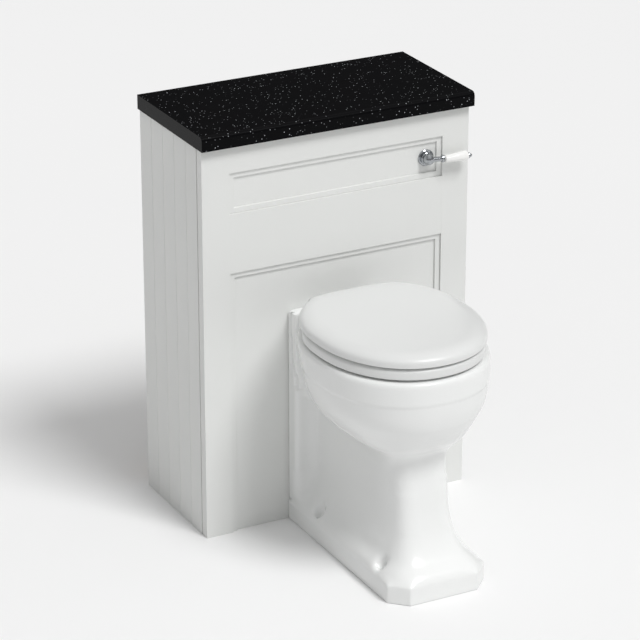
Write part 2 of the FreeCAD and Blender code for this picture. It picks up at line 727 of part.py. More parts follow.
def basin_section(climb, wall):
    """Egg section of the bowl's inside, from the sump at 0 to the rim at 1, let out by a wall."""
    low = SUMP_TOP - wall
    top = RIM_HEIGHT - RIM_LIP_DEPTH
    low_front = SUMP_MIDDLE + SUMP_RADIUS
    low_back = SUMP_MIDDLE - SUMP_RADIUS
    swell = climb + SUMP_BELLY * climb * (1 - climb)
    half = SUMP_RADIUS + (OPENING_HALF_WIDTH + RIM_UNDERCUT - SUMP_RADIUS) * swell
    front = low_front + (OPENING_FRONT + RIM_UNDERCUT - low_front) * swell
    back = low_back + (OPENING_BACK - RIM_UNDERCUT - low_back) * swell
    middle = SUMP_MIDDLE + (PAN_MIDDLE - SUMP_MIDDLE) * swell
    z = low + (top - low) * climb
    return half + wall, front + wall, back - wall, z, BOWL_POWER, BOWL_POWER, middle


def bowl_inside():
    """Inside of the bowl below the rim: a round-sided funnel down to the sump."""
    return loft([egg(*basin_section(step / BASIN_STEPS, 0)) for step in range(BASIN_STEPS + 1)], True)


def opening():
    """Mouth of the bowl through the rim, down past the undercut."""
    low = RIM_HEIGHT - RIM_LIP_DEPTH - RIM_UNDERCUT
    wires = []
    for z in (low, RIM_HEIGHT):
        wires.append(egg(OPENING_HALF_WIDTH, OPENING_FRONT, OPENING_BACK, z, BOWL_POWER, BOWL_POWER))
    return loft(wires, True)


def fixing_places():
    """The four floor fixings: two each side, on the foot's ledge."""
    places = []
    for distance in (FIXING_BACK, FIXING_BACK + FIXING_SPACING):
        for side in (-1, 1):
            places.append(Vector(side * FIXING_HALF_SPACING, ahead(distance), 0))
    return places


def hinge_places():
    """Points on the pan's deck under the two hinge posts."""
    return [Vector(side * HINGE_SPACING / 2, ahead(HINGE_AHEAD), RIM_HEIGHT) for side in (-1, 1)]


def inlet_way(radius):
    """Straight way from the mouth of the inlet to the back of the bowl."""
    mouth = Vector(0, PANEL_Y + INLET_LENGTH, INLET_HEIGHT)
    return rod(radius, mouth, OUTWARD, INLET_LENGTH + PANEL_SETBACK + SUMP_MIDDLE)


def spigot(radius, length, z):
    """Round stub that stands out behind the pan."""
    return rod(radius, Vector(0, PANEL_Y, z), BACK, length)


def core_loft(section, wall):
    """Flat-sided solid through a few of the bowl's sections."""
    return loft([core_egg(*section(step / CORE_STEPS, wall)) for step in range(CORE_STEPS + 1)], True)


def trap_casing():
    """China round the water way inside the stem."""
    half = TRAP_RADIUS + CHINA_WALL
    front = ahead(SUMP_MIDDLE + half)
    return block(-half, half, front, PANEL_Y, TRAP_DIP_HEIGHT - half, WEIR_HEIGHT + half)


def pan_hollow():
    """Space inside the casting: the stem, foot and bowl less a wall, round the basin, ways and bosses."""
    throat = core_egg(*pedestal_section(THROAT_HEIGHT, CHINA_WALL))
    space = Part.Face(throat).extrude(UP * -THROAT_HEIGHT)
    space = space.fuse(foot(CHINA_WALL, FOOT_HEIGHT - CHINA_WALL))
    space = space.fuse(core_loft(bowl_section, CHINA_WALL))
    kept = [
        block(-HALF_WIDTH, HALF_WIDTH, ahead(CHINA_WALL), PANEL_Y + PAN_TAIL, 0, RIM_HEIGHT),
        core_loft(basin_section, CHINA_WALL),
        trap_casing(),
        inlet_way(FLUSH_WAY_RADIUS + CHINA_WALL),
    ]
    for place in fixing_places():
        kept.append(rod(POCKET_RADIUS + CHINA_WALL, place, UP, FOOT_HEIGHT + POCKET_HEIGHT + CHINA_WALL))
    for piece in kept:
        space = space.cut(piece)
    return space


def pan():
    """China pan: hollow body, rim band, back flange, foot, water ways and fixing holes."""
    body = pedestal()
    body = body.fuse([
        bowl_outside(), rim_band(), foot(0, FOOT_HEIGHT), flange(), cove(), mirrored(cove())])
    body = body.cut(block(-HALF_WIDTH, HALF_WIDTH, PANEL_Y, PANEL_Y + PAN_TAIL, 0, RIM_HEIGHT))
    body = body.cut(pan_hollow())
    body = body.fuse([
        spigot(OUTLET_RADIUS, OUTLET_LENGTH, OUTLET_HEIGHT),
        spigot(INLET_RADIUS, INLET_LENGTH, INLET_HEIGHT),
    ])
    cuts = [
        opening(),
        bowl_inside(),
        trap_way(TRAP_RADIUS),
        spigot(OUTLET_BORE, OUTLET_LENGTH, OUTLET_HEIGHT),
        spigot(INLET_BORE, INLET_LENGTH, INLET_HEIGHT),
        inlet_way(FLUSH_WAY_RADIUS),
    ]
    for place in fixing_places():
        cuts.append(rod(POCKET_RADIUS, place + UP * FOOT_HEIGHT, UP, POCKET_HEIGHT))
        cuts.append(rod(FIXING_RADIUS, place, UP, FOOT_HEIGHT))
    for place in hinge_places():
        cuts.append(rod(HINGE_HOLE_RADIUS, place - UP * RIM_BAND, UP, RIM_BAND))
    for cut in cuts:
        body = body.cut(cut)
    return body


def ring_spot(angle, z):
    """Point on the middle of the rim's top at an angle from the right, seen from above."""
    turn = math.radians(angle)
    half = (LID_HALF_WIDTH + OPENING_HALF_WIDTH) / 2
    front = (LID_FRONT + OPENING_FRONT) / 2 - PAN_MIDDLE
    back = PAN_MIDDLE - (SEAT_BACK + OPENING_BACK) / 2
    reach = front if angle > 0 else back
    return Vector(half * math.cos(turn), ahead(PAN_MIDDLE + reach * math.sin(turn)), z)


def buffers(angles, top, height):
    """Rubber buffers with stems that push up into holes in the piece above them."""
    found = []
    for angle in angles:
        foot_spot = ring_spot(angle, top - height)
        puck = rod(BUFFER_RADIUS, foot_spot, UP, height)
        puck = puck.fuse(rod(BUFFER_STEM_RADIUS, foot_spot, UP, height + BUFFER_STEM_LENGTH))
        found += [puck, mirrored(puck)]
    return found


SEAT_BUFFERS = buffers((58, -34), SEAT_BOTTOM, SEAT_GAP - BUFFER_CLEARANCE)
LID_BUFFERS = buffers((44, -24), LID_BOTTOM, LID_GAP - BUFFER_CLEARANCE)


def knuckle(inner, carrier):
    """Right-hand hinge barrel from its inner end outwards, joined to the lug or strap that carries it."""
    start = Vector(inner, ahead(HINGE_AHEAD), HINGE_Z)
    return rod(KNUCKLE_RADIUS, start, RIGHT, KNUCKLE_WIDTH).fuse(carrier)


def pin_bore(inner):
    start = Vector(inner, ahead(HINGE_AHEAD), HINGE_Z)
    return rod(PIN_RADIUS + PIN_CLEARANCE, start, RIGHT, KNUCKLE_WIDTH)


POST_INNER = HINGE_SPACING / 2 - KNUCKLE_WIDTH / 2
SEAT_KNUCKLE_INNER = POST_INNER - KNUCKLE_SIDE_GAP - KNUCKLE_WIDTH
LID_KNUCKLE_INNER = POST_INNER + KNUCKLE_WIDTH + KNUCKLE_SIDE_GAP


def seat_ring():
    """Moulded seat: an egg-shaped ring with rounded edges and two hinge knuckles at the back."""
    half = LID_HALF_WIDTH - SEAT_INSET
    outline = egg(half, LID_FRONT - SEAT_INSET, SEAT_BACK, SEAT_BOTTOM, LID_FRONT_POWER, LID_BACK_POWER)
    hole = egg(
        SEAT_OPENING_HALF_WIDTH, SEAT_OPENING_FRONT, SEAT_OPENING_BACK, SEAT_BOTTOM, BOWL_POWER, BOWL_POWER)
    ring = slab(outline, SEAT_THICKNESS).cut(slab(hole, SEAT_THICKNESS))
    ring = ring.makeFillet(SEAT_EDGE_RADIUS, edges_at(ring, SEAT_TOP))
    ring = ring.makeFillet(SEAT_LOWER_RADIUS, edges_at(ring, SEAT_BOTTOM))
    strap = block(
        SEAT_KNUCKLE_INNER, SEAT_KNUCKLE_INNER + KNUCKLE_WIDTH,
        ahead(SEAT_BACK + KNUCKLE_WIDTH), ahead(HINGE_AHEAD),
        HINGE_Z - KNUCKLE_RADIUS, SEAT_TOP - SEAT_EDGE_RADIUS)
    arm = knuckle(SEAT_KNUCKLE_INNER, strap).cut(pin_bore(SEAT_KNUCKLE_INNER))
    ring = ring.fuse([arm, mirrored(arm)])
    return ring.cut(SEAT_BUFFERS)


def lid_outline(inset, z):
    """Outline of the lid at a height, drawn in by the roll of its edge."""
    return egg(
        LID_HALF_WIDTH - inset, LID_FRONT - inset, LID_BACK + inset, z, LID_FRONT_POWER, LID_BACK_POWER)


def lid():
    """Closed lid: a thin upright edge and a broad roll up to a flat top, with two hinge knuckles."""
    wires = []
    for step in range(LID_SECTIONS + 1):
        turn = math.pi / 2 * step / LID_SECTIONS
        inset = LID_ROLL * (1 - math.cos(turn))
        z = LID_BOTTOM + LID_EDGE + (LID_THICKNESS - LID_EDGE) * math.sin(turn)
        wires.append(lid_outline(inset, z))
    cover = loft([lid_outline(0, LID_BOTTOM)] + wires)
    lug = block(
        LID_KNUCKLE_INNER, LID_KNUCKLE_INNER + KNUCKLE_WIDTH,
        ahead(HINGE_AHEAD + KNUCKLE_RADIUS), ahead(HINGE_AHEAD - KNUCKLE_RADIUS), HINGE_Z, LID_BOTTOM)
    arm = knuckle(LID_KNUCKLE_INNER, lug).cut(pin_bore(LID_KNUCKLE_INNER))
    return cover.fuse([arm, mirrored(arm)]).cut(LID_BUFFERS)


def hinge_post():
    """Right-hand hinge post: a round base on the deck and an upright lug that holds the pin."""
    place = hinge_places()[1]
    base = rod(POST_BASE_RADIUS, place, UP, POST_BASE_HEIGHT)
    web = block(
        POST_INNER, POST_INNER + KNUCKLE_WIDTH,
        place.y - KNUCKLE_RADIUS, place.y + KNUCKLE_RADIUS, RIM_HEIGHT, HINGE_Z)
    barrel = rod(KNUCKLE_RADIUS, Vector(POST_INNER, place.y, HINGE_Z), RIGHT, KNUCKLE_WIDTH)
    pin_hole = rod(PIN_RADIUS, Vector(POST_INNER, place.y, HINGE_Z), RIGHT, KNUCKLE_WIDTH)
    stud_hole = rod(HINGE_BOLT_RADIUS, place, UP, POST_BASE_HEIGHT)
    return base.fuse([web, barrel]).cut([pin_hole, stud_hole])


def hinge_pin():
    start = Vector(SEAT_KNUCKLE_INNER - PIN_OVERHANG, ahead(HINGE_AHEAD), HINGE_Z)
    length = 3 * KNUCKLE_WIDTH + 2 * KNUCKLE_SIDE_GAP + 2 * PIN_OVERHANG
    return rod(PIN_RADIUS, start, RIGHT, length)


def hinge_bolt():
    """Stud that hangs from the right-hand post through the deck."""
    place = hinge_places()[1]
    top = place + UP * POST_BASE_HEIGHT
    return rod(HINGE_BOLT_RADIUS, top, UP * -1, POST_BASE_HEIGHT + HINGE_BOLT_LENGTH)


def hinge_plug():
    """Rubber sleeve that swells in the deck's hole when the right-hand stud is tightened."""
    place = hinge_places()[1]
    return tube(HINGE_HOLE_RADIUS, HINGE_BOLT_RADIUS, place, UP * -1, HINGE_BOLT_LENGTH - PLUG_FLANGE)


LEVER_AXIS = Vector(LEVER_X, PANEL_Y, LEVER_Z)
LEVER_HUB = LEVER_AXIS + OUTWARD * (ROSE_THICKNESS + HUB_CLEARANCE)
LEVER_ALONG = Vector(math.cos(math.radians(LEVER_TILT)), -math.sin(math.radians(LEVER_TILT)), 0)
LEVER_ROOT = LEVER_HUB + OUTWARD * ARM_OFFSET
SPINDLE_START_Y = LEVER_HUB.y - SPINDLE_GRIP
SPINDLE_END_Y = CISTERN_MID_Y + CRANK_HUB_LENGTH / 2


def lever_rose():
    """Stepped round plate against the panel."""
    shoulder = ROSE_BASE + ROSE_ROUND
    profile = [
        (0, 0), (0, ROSE_RADIUS), (ROSE_BASE, ROSE_RADIUS), (shoulder, ROSE_RADIUS - ROSE_ROUND),
        (shoulder, ROSE_STEP_RADIUS), (ROSE_THICKNESS - ROSE_ROUND, ROSE_STEP_RADIUS),
        (ROSE_THICKNESS, ROSE_STEP_RADIUS - ROSE_ROUND), (ROSE_THICKNESS, 0),
    ]
    rose = turned(profile, LEVER_AXIS, OUTWARD, UP)
    return rose.cut(rod(BUSH_RADIUS, LEVER_AXIS, OUTWARD, ROSE_THICKNESS))


def lever_bush():
    """Threaded sleeve through the rose and the panel."""
    start = LEVER_AXIS + OUTWARD * ROSE_THICKNESS
    return tube(BUSH_RADIUS, SPINDLE_RADIUS + SPINDLE_CLEARANCE, start, BACK, BUSH_LENGTH)


def lever_backnut():
    nut = hexagon(BACKNUT_RADIUS, BUSH_RADIUS, Vector(0, 0, 0), BACKNUT_THICKNESS)
    nut.rotate(Vector(0, 0, 0), RIGHT, -90)
    nut.translate(Vector(LEVER_X, FRAME_BACK_Y, LEVER_Z))
    return nut


def lever_arm():
    """Cast lever: a domed hub over the rose and a neck that runs out to the grip."""
    profile = [(0, 0), (0, HUB_RADIUS)]
    for step in range(HUB_FACETS + 1):
        turn = math.pi / 2 * step / HUB_FACETS
        along = HUB_SKIRT + (HUB_LENGTH - HUB_SKIRT) * math.sin(turn)
        profile.append((along, HUB_RADIUS * math.cos(turn)))
    hub = turned(profile, LEVER_HUB, OUTWARD, UP)
    neck = Part.makeCone(NECK_ROOT_RADIUS, NECK_RADIUS, NECK_REACH, LEVER_ROOT, LEVER_ALONG)
    arm = hub.fuse(neck)
    arm = arm.cut(rod(STUD_RADIUS, LEVER_ROOT + LEVER_ALONG * HUB_RADIUS, LEVER_ALONG, NECK_REACH))
    return arm.cut(rod(SPINDLE_RADIUS, Vector(LEVER_X, SPINDLE_START_Y, LEVER_Z), BACK, SPINDLE_GRIP))


def lever_ferrule():
    """Collar between the neck and the grip."""
    start = LEVER_ROOT + LEVER_ALONG * NECK_REACH
    profile = [
        (0, 0), (0, NECK_RADIUS), (FERRULE_SLOPE, FERRULE_RADIUS),
        (FERRULE_LENGTH - FERRULE_SLOPE, FERRULE_RADIUS), (FERRULE_LENGTH, GRIP_THIN_RADIUS),
        (FERRULE_LENGTH, 0),
    ]
    collar = turned(profile, start, LEVER_ALONG, UP)
    return collar.cut(rod(STUD_RADIUS, start, LEVER_ALONG, FERRULE_LENGTH))


def lever_grip():
    """Porcelain grip that swells towards its far end."""
    start = LEVER_ROOT + LEVER_ALONG * (NECK_REACH + FERRULE_LENGTH)
    end = start + LEVER_ALONG * GRIP_LENGTH
    points = []
    for share, swell in GRIP_SWELL:
        radius = GRIP_THIN_RADIUS + (GRIP_FAT_RADIUS - GRIP_THIN_RADIUS) * swell
        points.append(start + LEVER_ALONG * (GRIP_LENGTH * share) + UP * radius)
    points.append(end + UP * GRIP_END_RADIUS)
    curve = Part.BSplineCurve()
    curve.interpolate(points)
    outline = Part.Wire([
        curve.toShape(),
        Part.LineSegment(points[-1], end).toShape(),
        Part.LineSegment(end, start).toShape(),
        Part.LineSegment(start, points[0]).toShape(),
    ])
    body = Part.Face(outline).revolve(start, LEVER_ALONG, 360)
    return body.cut(rod(STUD_RADIUS, start, LEVER_ALONG, GRIP_LENGTH))


def lever_stud():
    """Rod through the grip that ties the finial to the neck."""
    start = LEVER_ROOT + LEVER_ALONG * HUB_RADIUS
    length = NECK_REACH - HUB_RADIUS + FERRULE_LENGTH + GRIP_LENGTH + FINIAL_BITE
    return rod(STUD_RADIUS, start, LEVER_ALONG, length)


def lever_finial():
    """Button on the end of the grip."""
    start = LEVER_ROOT + LEVER_ALONG * (NECK_REACH + FERRULE_LENGTH + GRIP_LENGTH)
    profile = [(0, 0), (0, FINIAL_RADIUS), (FINIAL_COLLAR, FINIAL_RADIUS)]
    for step in range(HUB_FACETS + 1):
        turn = math.pi / 2 * step / HUB_FACETS
        along = FINIAL_COLLAR + (FINIAL_LENGTH - FINIAL_COLLAR) * math.sin(turn)
        profile.append((along, FINIAL_BUTTON_RADIUS * math.cos(turn)))
    button = turned(profile, start, LEVER_ALONG, UP)
    return button.cut(rod(STUD_RADIUS, start, LEVER_ALONG, FINIAL_BITE))


def lever_spindle():
    start = Vector(LEVER_X, SPINDLE_START_Y, LEVER_Z)
    return rod(SPINDLE_RADIUS, start, BACK, SPINDLE_END_Y - SPINDLE_START_Y)


def crank_arm():
    """Flat bar inside the cistern, clamped on the spindle, that lifts the piston's link."""
    start = Vector(LEVER_X, SPINDLE_END_Y - CRANK_HUB_LENGTH, LEVER_Z)
    hub = rod(CRANK_HUB_RADIUS, start, BACK, CRANK_HUB_LENGTH)
    bar = block(
        ROD_OFFSET - CRANK_OVERREACH, LEVER_X,
        CISTERN_MID_Y - CRANK_BAR_THICKNESS / 2, CISTERN_MID_Y + CRANK_BAR_THICKNESS / 2,
        LEVER_Z - CRANK_BAR_HEIGHT / 2, LEVER_Z + CRANK_BAR_HEIGHT / 2)
    return hub.fuse(bar).cut(rod(SPINDLE_RADIUS, start, BACK, CRANK_HUB_LENGTH))


def spindle_hole(radius):
    return rod(radius, Vector(LEVER_X, CISTERN_FRONT_Y, LEVER_Z), BACK, CISTERN_WALL)


def spindle_grommet():
    """Rubber sleeve with a flange each side of the cistern's front wall."""
    bore = SPINDLE_RADIUS + BUFFER_CLEARANCE
    outer = bore + GROMMET_WALL
    body = spindle_hole(outer)
    for y in (CISTERN_FRONT_Y - GROMMET_FLANGE, CISTERN_FRONT_Y + CISTERN_WALL):
        body = body.fuse(rod(outer + GROMMET_FLANGE, Vector(LEVER_X, y, LEVER_Z), BACK, GROMMET_FLANGE))
    start = Vector(LEVER_X, CISTERN_FRONT_Y - GROMMET_FLANGE, LEVER_Z)
    return body.cut(rod(bore, start, BACK, CISTERN_WALL + 2 * GROMMET_FLANGE))


def rounded_block(half, y0, y1, z0, z1, corner):
    """Upright block whose four standing corners are rounded."""
    body = block(-half, half, y0, y1, z0, z1)
    upright = [edge for edge in body.Edges if edge.BoundBox.ZLength > (z1 - z0) / 2]
    return body.makeFillet(corner, upright)


def cistern_screw(side):
    """Round-headed screw through the cistern's back wall into the rail."""
    y = RAIL_FRONT_Y - CISTERN_WALL
    start = Vector(side * CISTERN_SCREW_SPACING / 2, y, CISTERN_TOP - CISTERN_SCREW_DROP)
    shank = rod(CISTERN_SCREW_RADIUS, start, BACK, CISTERN_WALL + SCREW_BITE)
    head = rod(CISTERN_SCREW_HEAD, start - BACK * CISTERN_HEAD_HEIGHT, BACK, CISTERN_HEAD_HEIGHT)
    return shank.fuse(head)


def cistern_tank():
    """Plastic tank, open at the top, bored for the siphon, the fill valve, the spindle and its screws."""
    tank = rounded_block(
        CISTERN_HALF, CISTERN_FRONT_Y, RAIL_FRONT_Y, CISTERN_BOTTOM, CISTERN_TOP, CISTERN_CORNER)
    inside = rounded_block(
        CISTERN_HALF - CISTERN_WALL, CISTERN_FRONT_Y + CISTERN_WALL, RAIL_FRONT_Y - CISTERN_WALL,
        CISTERN_FLOOR, CISTERN_TOP, CISTERN_CORNER - CISTERN_WALL)
    cuts = [
        rod(TAIL_RADIUS, Vector(0, CISTERN_MID_Y, CISTERN_BOTTOM), UP, CISTERN_WALL),
        rod(FILL_SHANK_RADIUS, Vector(FILL_X, CISTERN_MID_Y, CISTERN_BOTTOM), UP, CISTERN_WALL),
        spindle_hole(SPINDLE_RADIUS + BUFFER_CLEARANCE + GROMMET_WALL),
        cistern_screw(-1),
        cistern_screw(1),
    ]
    return tank.cut([inside] + cuts)


def cistern_lid():
    """Flat cover with a lip that drops inside the tank."""
    top = CISTERN_TOP + CISTERN_LID_THICKNESS
    cover = rounded_block(CISTERN_HALF, CISTERN_FRONT_Y, RAIL_FRONT_Y, CISTERN_TOP, top, CISTERN_CORNER)
    wall = CISTERN_WALL
    lip = rounded_block(
        CISTERN_HALF - wall, CISTERN_FRONT_Y + wall, RAIL_FRONT_Y - wall,
        CISTERN_TOP - CISTERN_LIP_DEPTH, CISTERN_TOP, CISTERN_CORNER - wall)
    core = rounded_block(
        CISTERN_HALF - 2 * wall, CISTERN_FRONT_Y + 2 * wall, RAIL_FRONT_Y - 2 * wall,
        CISTERN_TOP - CISTERN_LIP_DEPTH, CISTERN_TOP, CISTERN_CORNER - 2 * wall)
    return cover.fuse(lip.cut(core))


def siphon_body():
    """Bell over the piston, crown across the top and outlet leg down through the cistern's floor."""
    wall = SIPHON_WALL
    bell_at = Vector(ROD_OFFSET, CISTERN_MID_Y, BELL_BOTTOM)
    rise_at = Vector(ROD_OFFSET, CISTERN_MID_Y, BELL_TOP - wall)
    leg_at = Vector(0, CISTERN_MID_Y, TAIL_BOTTOM)
    seat = CISTERN_FLOOR + WASHER_THICKNESS
    y0 = CISTERN_MID_Y - LEG_RADIUS
    y1 = CISTERN_MID_Y + LEG_RADIUS
    crown = block(-LEG_RADIUS, ROD_OFFSET + LEG_RADIUS, y0, y1, CROWN_BOTTOM, CROWN_TOP)
    upper = [edge for edge in edges_at(crown, CROWN_TOP) if edge.BoundBox.YLength > LEG_RADIUS]
    crown = crown.makeFillet(LEG_RADIUS, upper)
    body = rod(BELL_RADIUS, bell_at, UP, BELL_HEIGHT).fuse([
        rod(LEG_RADIUS, rise_at, UP, CROWN_BOTTOM - rise_at.z + wall),
        crown,
        rod(LEG_RADIUS, leg_at, UP, CROWN_BOTTOM - TAIL_BOTTOM + wall),
        rod(TAIL_RADIUS, leg_at, UP, seat - TAIL_BOTTOM),
        rod(TAIL_FLANGE, Vector(0, CISTERN_MID_Y, seat), UP, wall),
    ])
    within = block(
        -LEG_RADIUS + wall, ROD_OFFSET + LEG_RADIUS - wall, y0 + wall, y1 - wall,
        CROWN_BOTTOM + wall, CROWN_TOP - wall)
    body = body.cut([
        rod(BELL_RADIUS - wall, bell_at, UP, BELL_HEIGHT - wall),
        rod(LEG_RADIUS - wall, bell_at, UP, CROWN_BOTTOM - BELL_BOTTOM + 2 * wall),
        within.makeFillet(LEG_RADIUS - 2 * wall, [
            edge for edge in edges_at(within, CROWN_TOP - wall) if edge.BoundBox.YLength > LEG_RADIUS]),
        rod(LEG_RADIUS - wall, leg_at, UP, CROWN_BOTTOM - TAIL_BOTTOM + 2 * wall),
        rod(PIPE_RADIUS, leg_at, UP, PIPE_SOCKET),
        rod(ROD_RADIUS + ROD_CLEARANCE, bell_at, UP, CROWN_TOP - BELL_BOTTOM),
    ])
    spider = block(
        ROD_OFFSET - BELL_RADIUS + wall / 2, ROD_OFFSET + BELL_RADIUS - wall / 2,
        CISTERN_MID_Y - SPIDER_BAR / 2, CISTERN_MID_Y + SPIDER_BAR / 2,
        BELL_BOTTOM, BELL_BOTTOM + SPIDER_BAR)
    return body.fuse(spider)


def siphon_washer():
    return tube(TAIL_FLANGE, TAIL_RADIUS, Vector(0, CISTERN_MID_Y, CISTERN_FLOOR), UP, WASHER_THICKNESS)


def siphon_backnut():
    start = Vector(0, CISTERN_MID_Y, CISTERN_BOTTOM - SIPHON_NUT_THICKNESS)
    return hexagon(SIPHON_NUT_RADIUS, TAIL_RADIUS, start, SIPHON_NUT_THICKNESS)


def piston_plate():
    """Pierced plate that lifts the water in the bell."""
    start = Vector(ROD_OFFSET, CISTERN_MID_Y, PISTON_BOTTOM)
    radius = BELL_RADIUS - SIPHON_WALL - PISTON_CLEARANCE
    plate = tube(radius, ROD_RADIUS, start, UP, PISTON_THICKNESS)
    for hole in range(PISTON_HOLES):
        turn = 2 * math.pi * hole / PISTON_HOLES
        offset = Vector(math.cos(turn), math.sin(turn), 0) * PISTON_HOLE_CIRCLE
        plate = plate.cut(rod(PISTON_HOLE_RADIUS, start + offset, UP, PISTON_THICKNESS))
    return plate


def piston_flap():
    """Soft disc that closes the plate's holes on the way up."""
    start = Vector(ROD_OFFSET, CISTERN_MID_Y, PISTON_BOTTOM + PISTON_THICKNESS)
    return tube(BELL_RADIUS - SIPHON_WALL - 2 * PISTON_CLEARANCE, ROD_RADIUS, start, UP, FLAP_THICKNESS)


def piston_rod():
    start = Vector(ROD_OFFSET, CISTERN_MID_Y, PISTON_BOTTOM)
    return rod(ROD_RADIUS, start, UP, LEVER_Z - LINK_WINDOW_DOWN - LINK_BAR / 2 - PISTON_BOTTOM)


def lift_link():
    """Stirrup on the rod's top, with a window that the crank's bar slides through."""
    half = LINK_WINDOW_HALF + LINK_BAR
    low = LEVER_Z - LINK_WINDOW_DOWN - LINK_BAR
    high = LEVER_Z + LINK_WINDOW_UP + LINK_BAR
    x0 = ROD_OFFSET - LINK_BAR / 2
    x1 = ROD_OFFSET + LINK_BAR / 2
    frame = block(x0, x1, CISTERN_MID_Y - half, CISTERN_MID_Y + half, low, high)
    window = block(
        x0, x1, CISTERN_MID_Y - LINK_WINDOW_HALF, CISTERN_MID_Y + LINK_WINDOW_HALF,
        LEVER_Z - LINK_WINDOW_DOWN, LEVER_Z + LINK_WINDOW_UP)
    collar_at = Vector(ROD_OFFSET, CISTERN_MID_Y, low - LINK_BAR)
    collar = rod(ROD_RADIUS + LINK_BAR / 2, collar_at, UP, LINK_BAR)
    return frame.fuse(collar).cut([window, piston_rod()])


def flush_pipe_points():
    """Corners of the flush pipe: down from the siphon's tail, then forward into the pan's inlet."""
    return [
        Vector(0, CISTERN_MID_Y, TAIL_BOTTOM + PIPE_SOCKET),
        Vector(0, CISTERN_MID_Y, INLET_HEIGHT),
        Vector(0, PANEL_Y + INLET_LENGTH - CONE_LENGTH, INLET_HEIGHT),
    ]


def flush_pipe():
    points = flush_pipe_points()
    return pipe(points, [PIPE_BEND], PIPE_RADIUS).cut(pipe(points, [PIPE_BEND], PIPE_RADIUS - PIPE_WALL))


def flush_pipe_nut():
    """Ring nut that clamps the flush pipe into the siphon's tail."""
    lip = PIPE_NUT_HEIGHT / 4
    start = Vector(0, CISTERN_MID_Y, TAIL_BOTTOM - lip)
    nut = hexagon(PIPE_NUT_RADIUS, PIPE_RADIUS, start, PIPE_NUT_HEIGHT)
    return nut.cut(rod(TAIL_RADIUS, start + UP * lip, UP, PIPE_NUT_HEIGHT - lip))


def flush_cone():
    """Rubber cone between the flush pipe and the pan's inlet, with a lip over the inlet's end."""
    mouth = Vector(0, PANEL_Y + INLET_LENGTH, INLET_HEIGHT)
    body = rod(INLET_BORE, mouth, OUTWARD, CONE_LENGTH - CONE_LIP)
    body = body.fuse(rod(INLET_RADIUS, mouth, BACK, CONE_LIP))
    return body.cut(rod(PIPE_RADIUS, mouth + BACK * CONE_LIP, OUTWARD, CONE_LENGTH + CONE_LIP))


SOIL_SOCKET_RADIUS = OUTLET_RADIUS + SOIL_SEAL_WIDTH + SOIL_WALL
SOIL_START_Y = FRAME_BACK_Y + BUFFER_CLEARANCE
SOIL_END_Y = REAR_Y - SOIL_SETBACK


def soil_connector():
    """Straight connector: a socket over the pan's outlet and a tail for the soil pipe."""
    start = Vector(0, SOIL_START_Y, OUTLET_HEIGHT)
    step = SOIL_SOCKET_LENGTH + SOIL_WALL
    length = SOIL_END_Y - SOIL_START_Y
    body = rod(SOIL_SOCKET_RADIUS, start, BACK, step).fuse(rod(SOIL_RADIUS, start, BACK, length))
    bore = rod(SOIL_RADIUS - SOIL_WALL, start, BACK, length)
    return body.cut([bore, rod(SOIL_SOCKET_RADIUS - SOIL_WALL, start, BACK, SOIL_SOCKET_LENGTH)])


def soil_seal():
    """Rubber ring between the pan's outlet and the connector's socket."""
    start = Vector(0, SOIL_START_Y, OUTLET_HEIGHT)
    return tube(SOIL_SOCKET_RADIUS - SOIL_WALL, OUTLET_RADIUS, start, BACK, SOIL_SEAL_LENGTH)


def fork_gap():
    """Slot in the fill valve's head that the float arm's eye turns in."""
    half = FLOAT_EYE_WIDTH / 2 + BUFFER_CLEARANCE
    reach = FLOAT_EYE_RADIUS + BUFFER_CLEARANCE
    return block(
        FLOAT_PIVOT_X - reach, FLOAT_PIVOT_X + 2 * reach,
        CISTERN_MID_Y - half, CISTERN_MID_Y + half, FLOAT_PIVOT_Z - 4 * reach, FLOAT_PIVOT_Z + 2 * reach)


def fill_valve():
    """Bottom-entry float valve: tail, shank, flange, column and a head with a fork for the float arm."""
    x = FILL_X
    seat = CISTERN_FLOOR + WASHER_THICKNESS
    tail = CISTERN_BOTTOM - FILL_TAIL_LENGTH
    shank = CISTERN_BOTTOM - FILL_NUT_THICKNESS
    thread_length = shank - FILL_RELIEF_LENGTH - tail
    body = rod(FILL_RELIEF_RADIUS, Vector(x, CISTERN_MID_Y, tail), UP, seat - tail)
    head_half = FLOAT_EYE_WIDTH / 2 + BUFFER_CLEARANCE + FORK_WALL
    fork = block(
        x, FLOAT_PIVOT_X + FLOAT_EYE_RADIUS, CISTERN_MID_Y - head_half, CISTERN_MID_Y + head_half,
        FLOAT_PIVOT_Z - FLOAT_EYE_RADIUS, FLOAT_PIVOT_Z + FLOAT_EYE_RADIUS)
    body = body.fuse([
        rod(FILL_TAIL_RADIUS, Vector(x, CISTERN_MID_Y, tail), UP, thread_length),
        rod(FILL_SHANK_RADIUS, Vector(x, CISTERN_MID_Y, shank), UP, seat - shank),
        rod(FILL_FLANGE_RADIUS, Vector(x, CISTERN_MID_Y, seat), UP, FILL_FLANGE_THICKNESS),
        rod(FILL_COLUMN_RADIUS, Vector(x, CISTERN_MID_Y, seat), UP, FILL_TOP - seat),
        rod(FILL_HEAD_RADIUS, Vector(x, CISTERN_MID_Y, FILL_TOP), UP, FILL_HEAD_HEIGHT),
        fork,
    ])
    body = body.cut(fork_gap())
    pin = Vector(FLOAT_PIVOT_X, CISTERN_MID_Y - head_half, FLOAT_PIVOT_Z)
    return body.fuse(rod(FLOAT_PIVOT_RADIUS, pin, BACK, 2 * head_half))


def fill_washer():
    start = Vector(FILL_X, CISTERN_MID_Y, CISTERN_FLOOR)
    return tube(FILL_FLANGE_RADIUS, FILL_SHANK_RADIUS, start, UP, WASHER_THICKNESS)


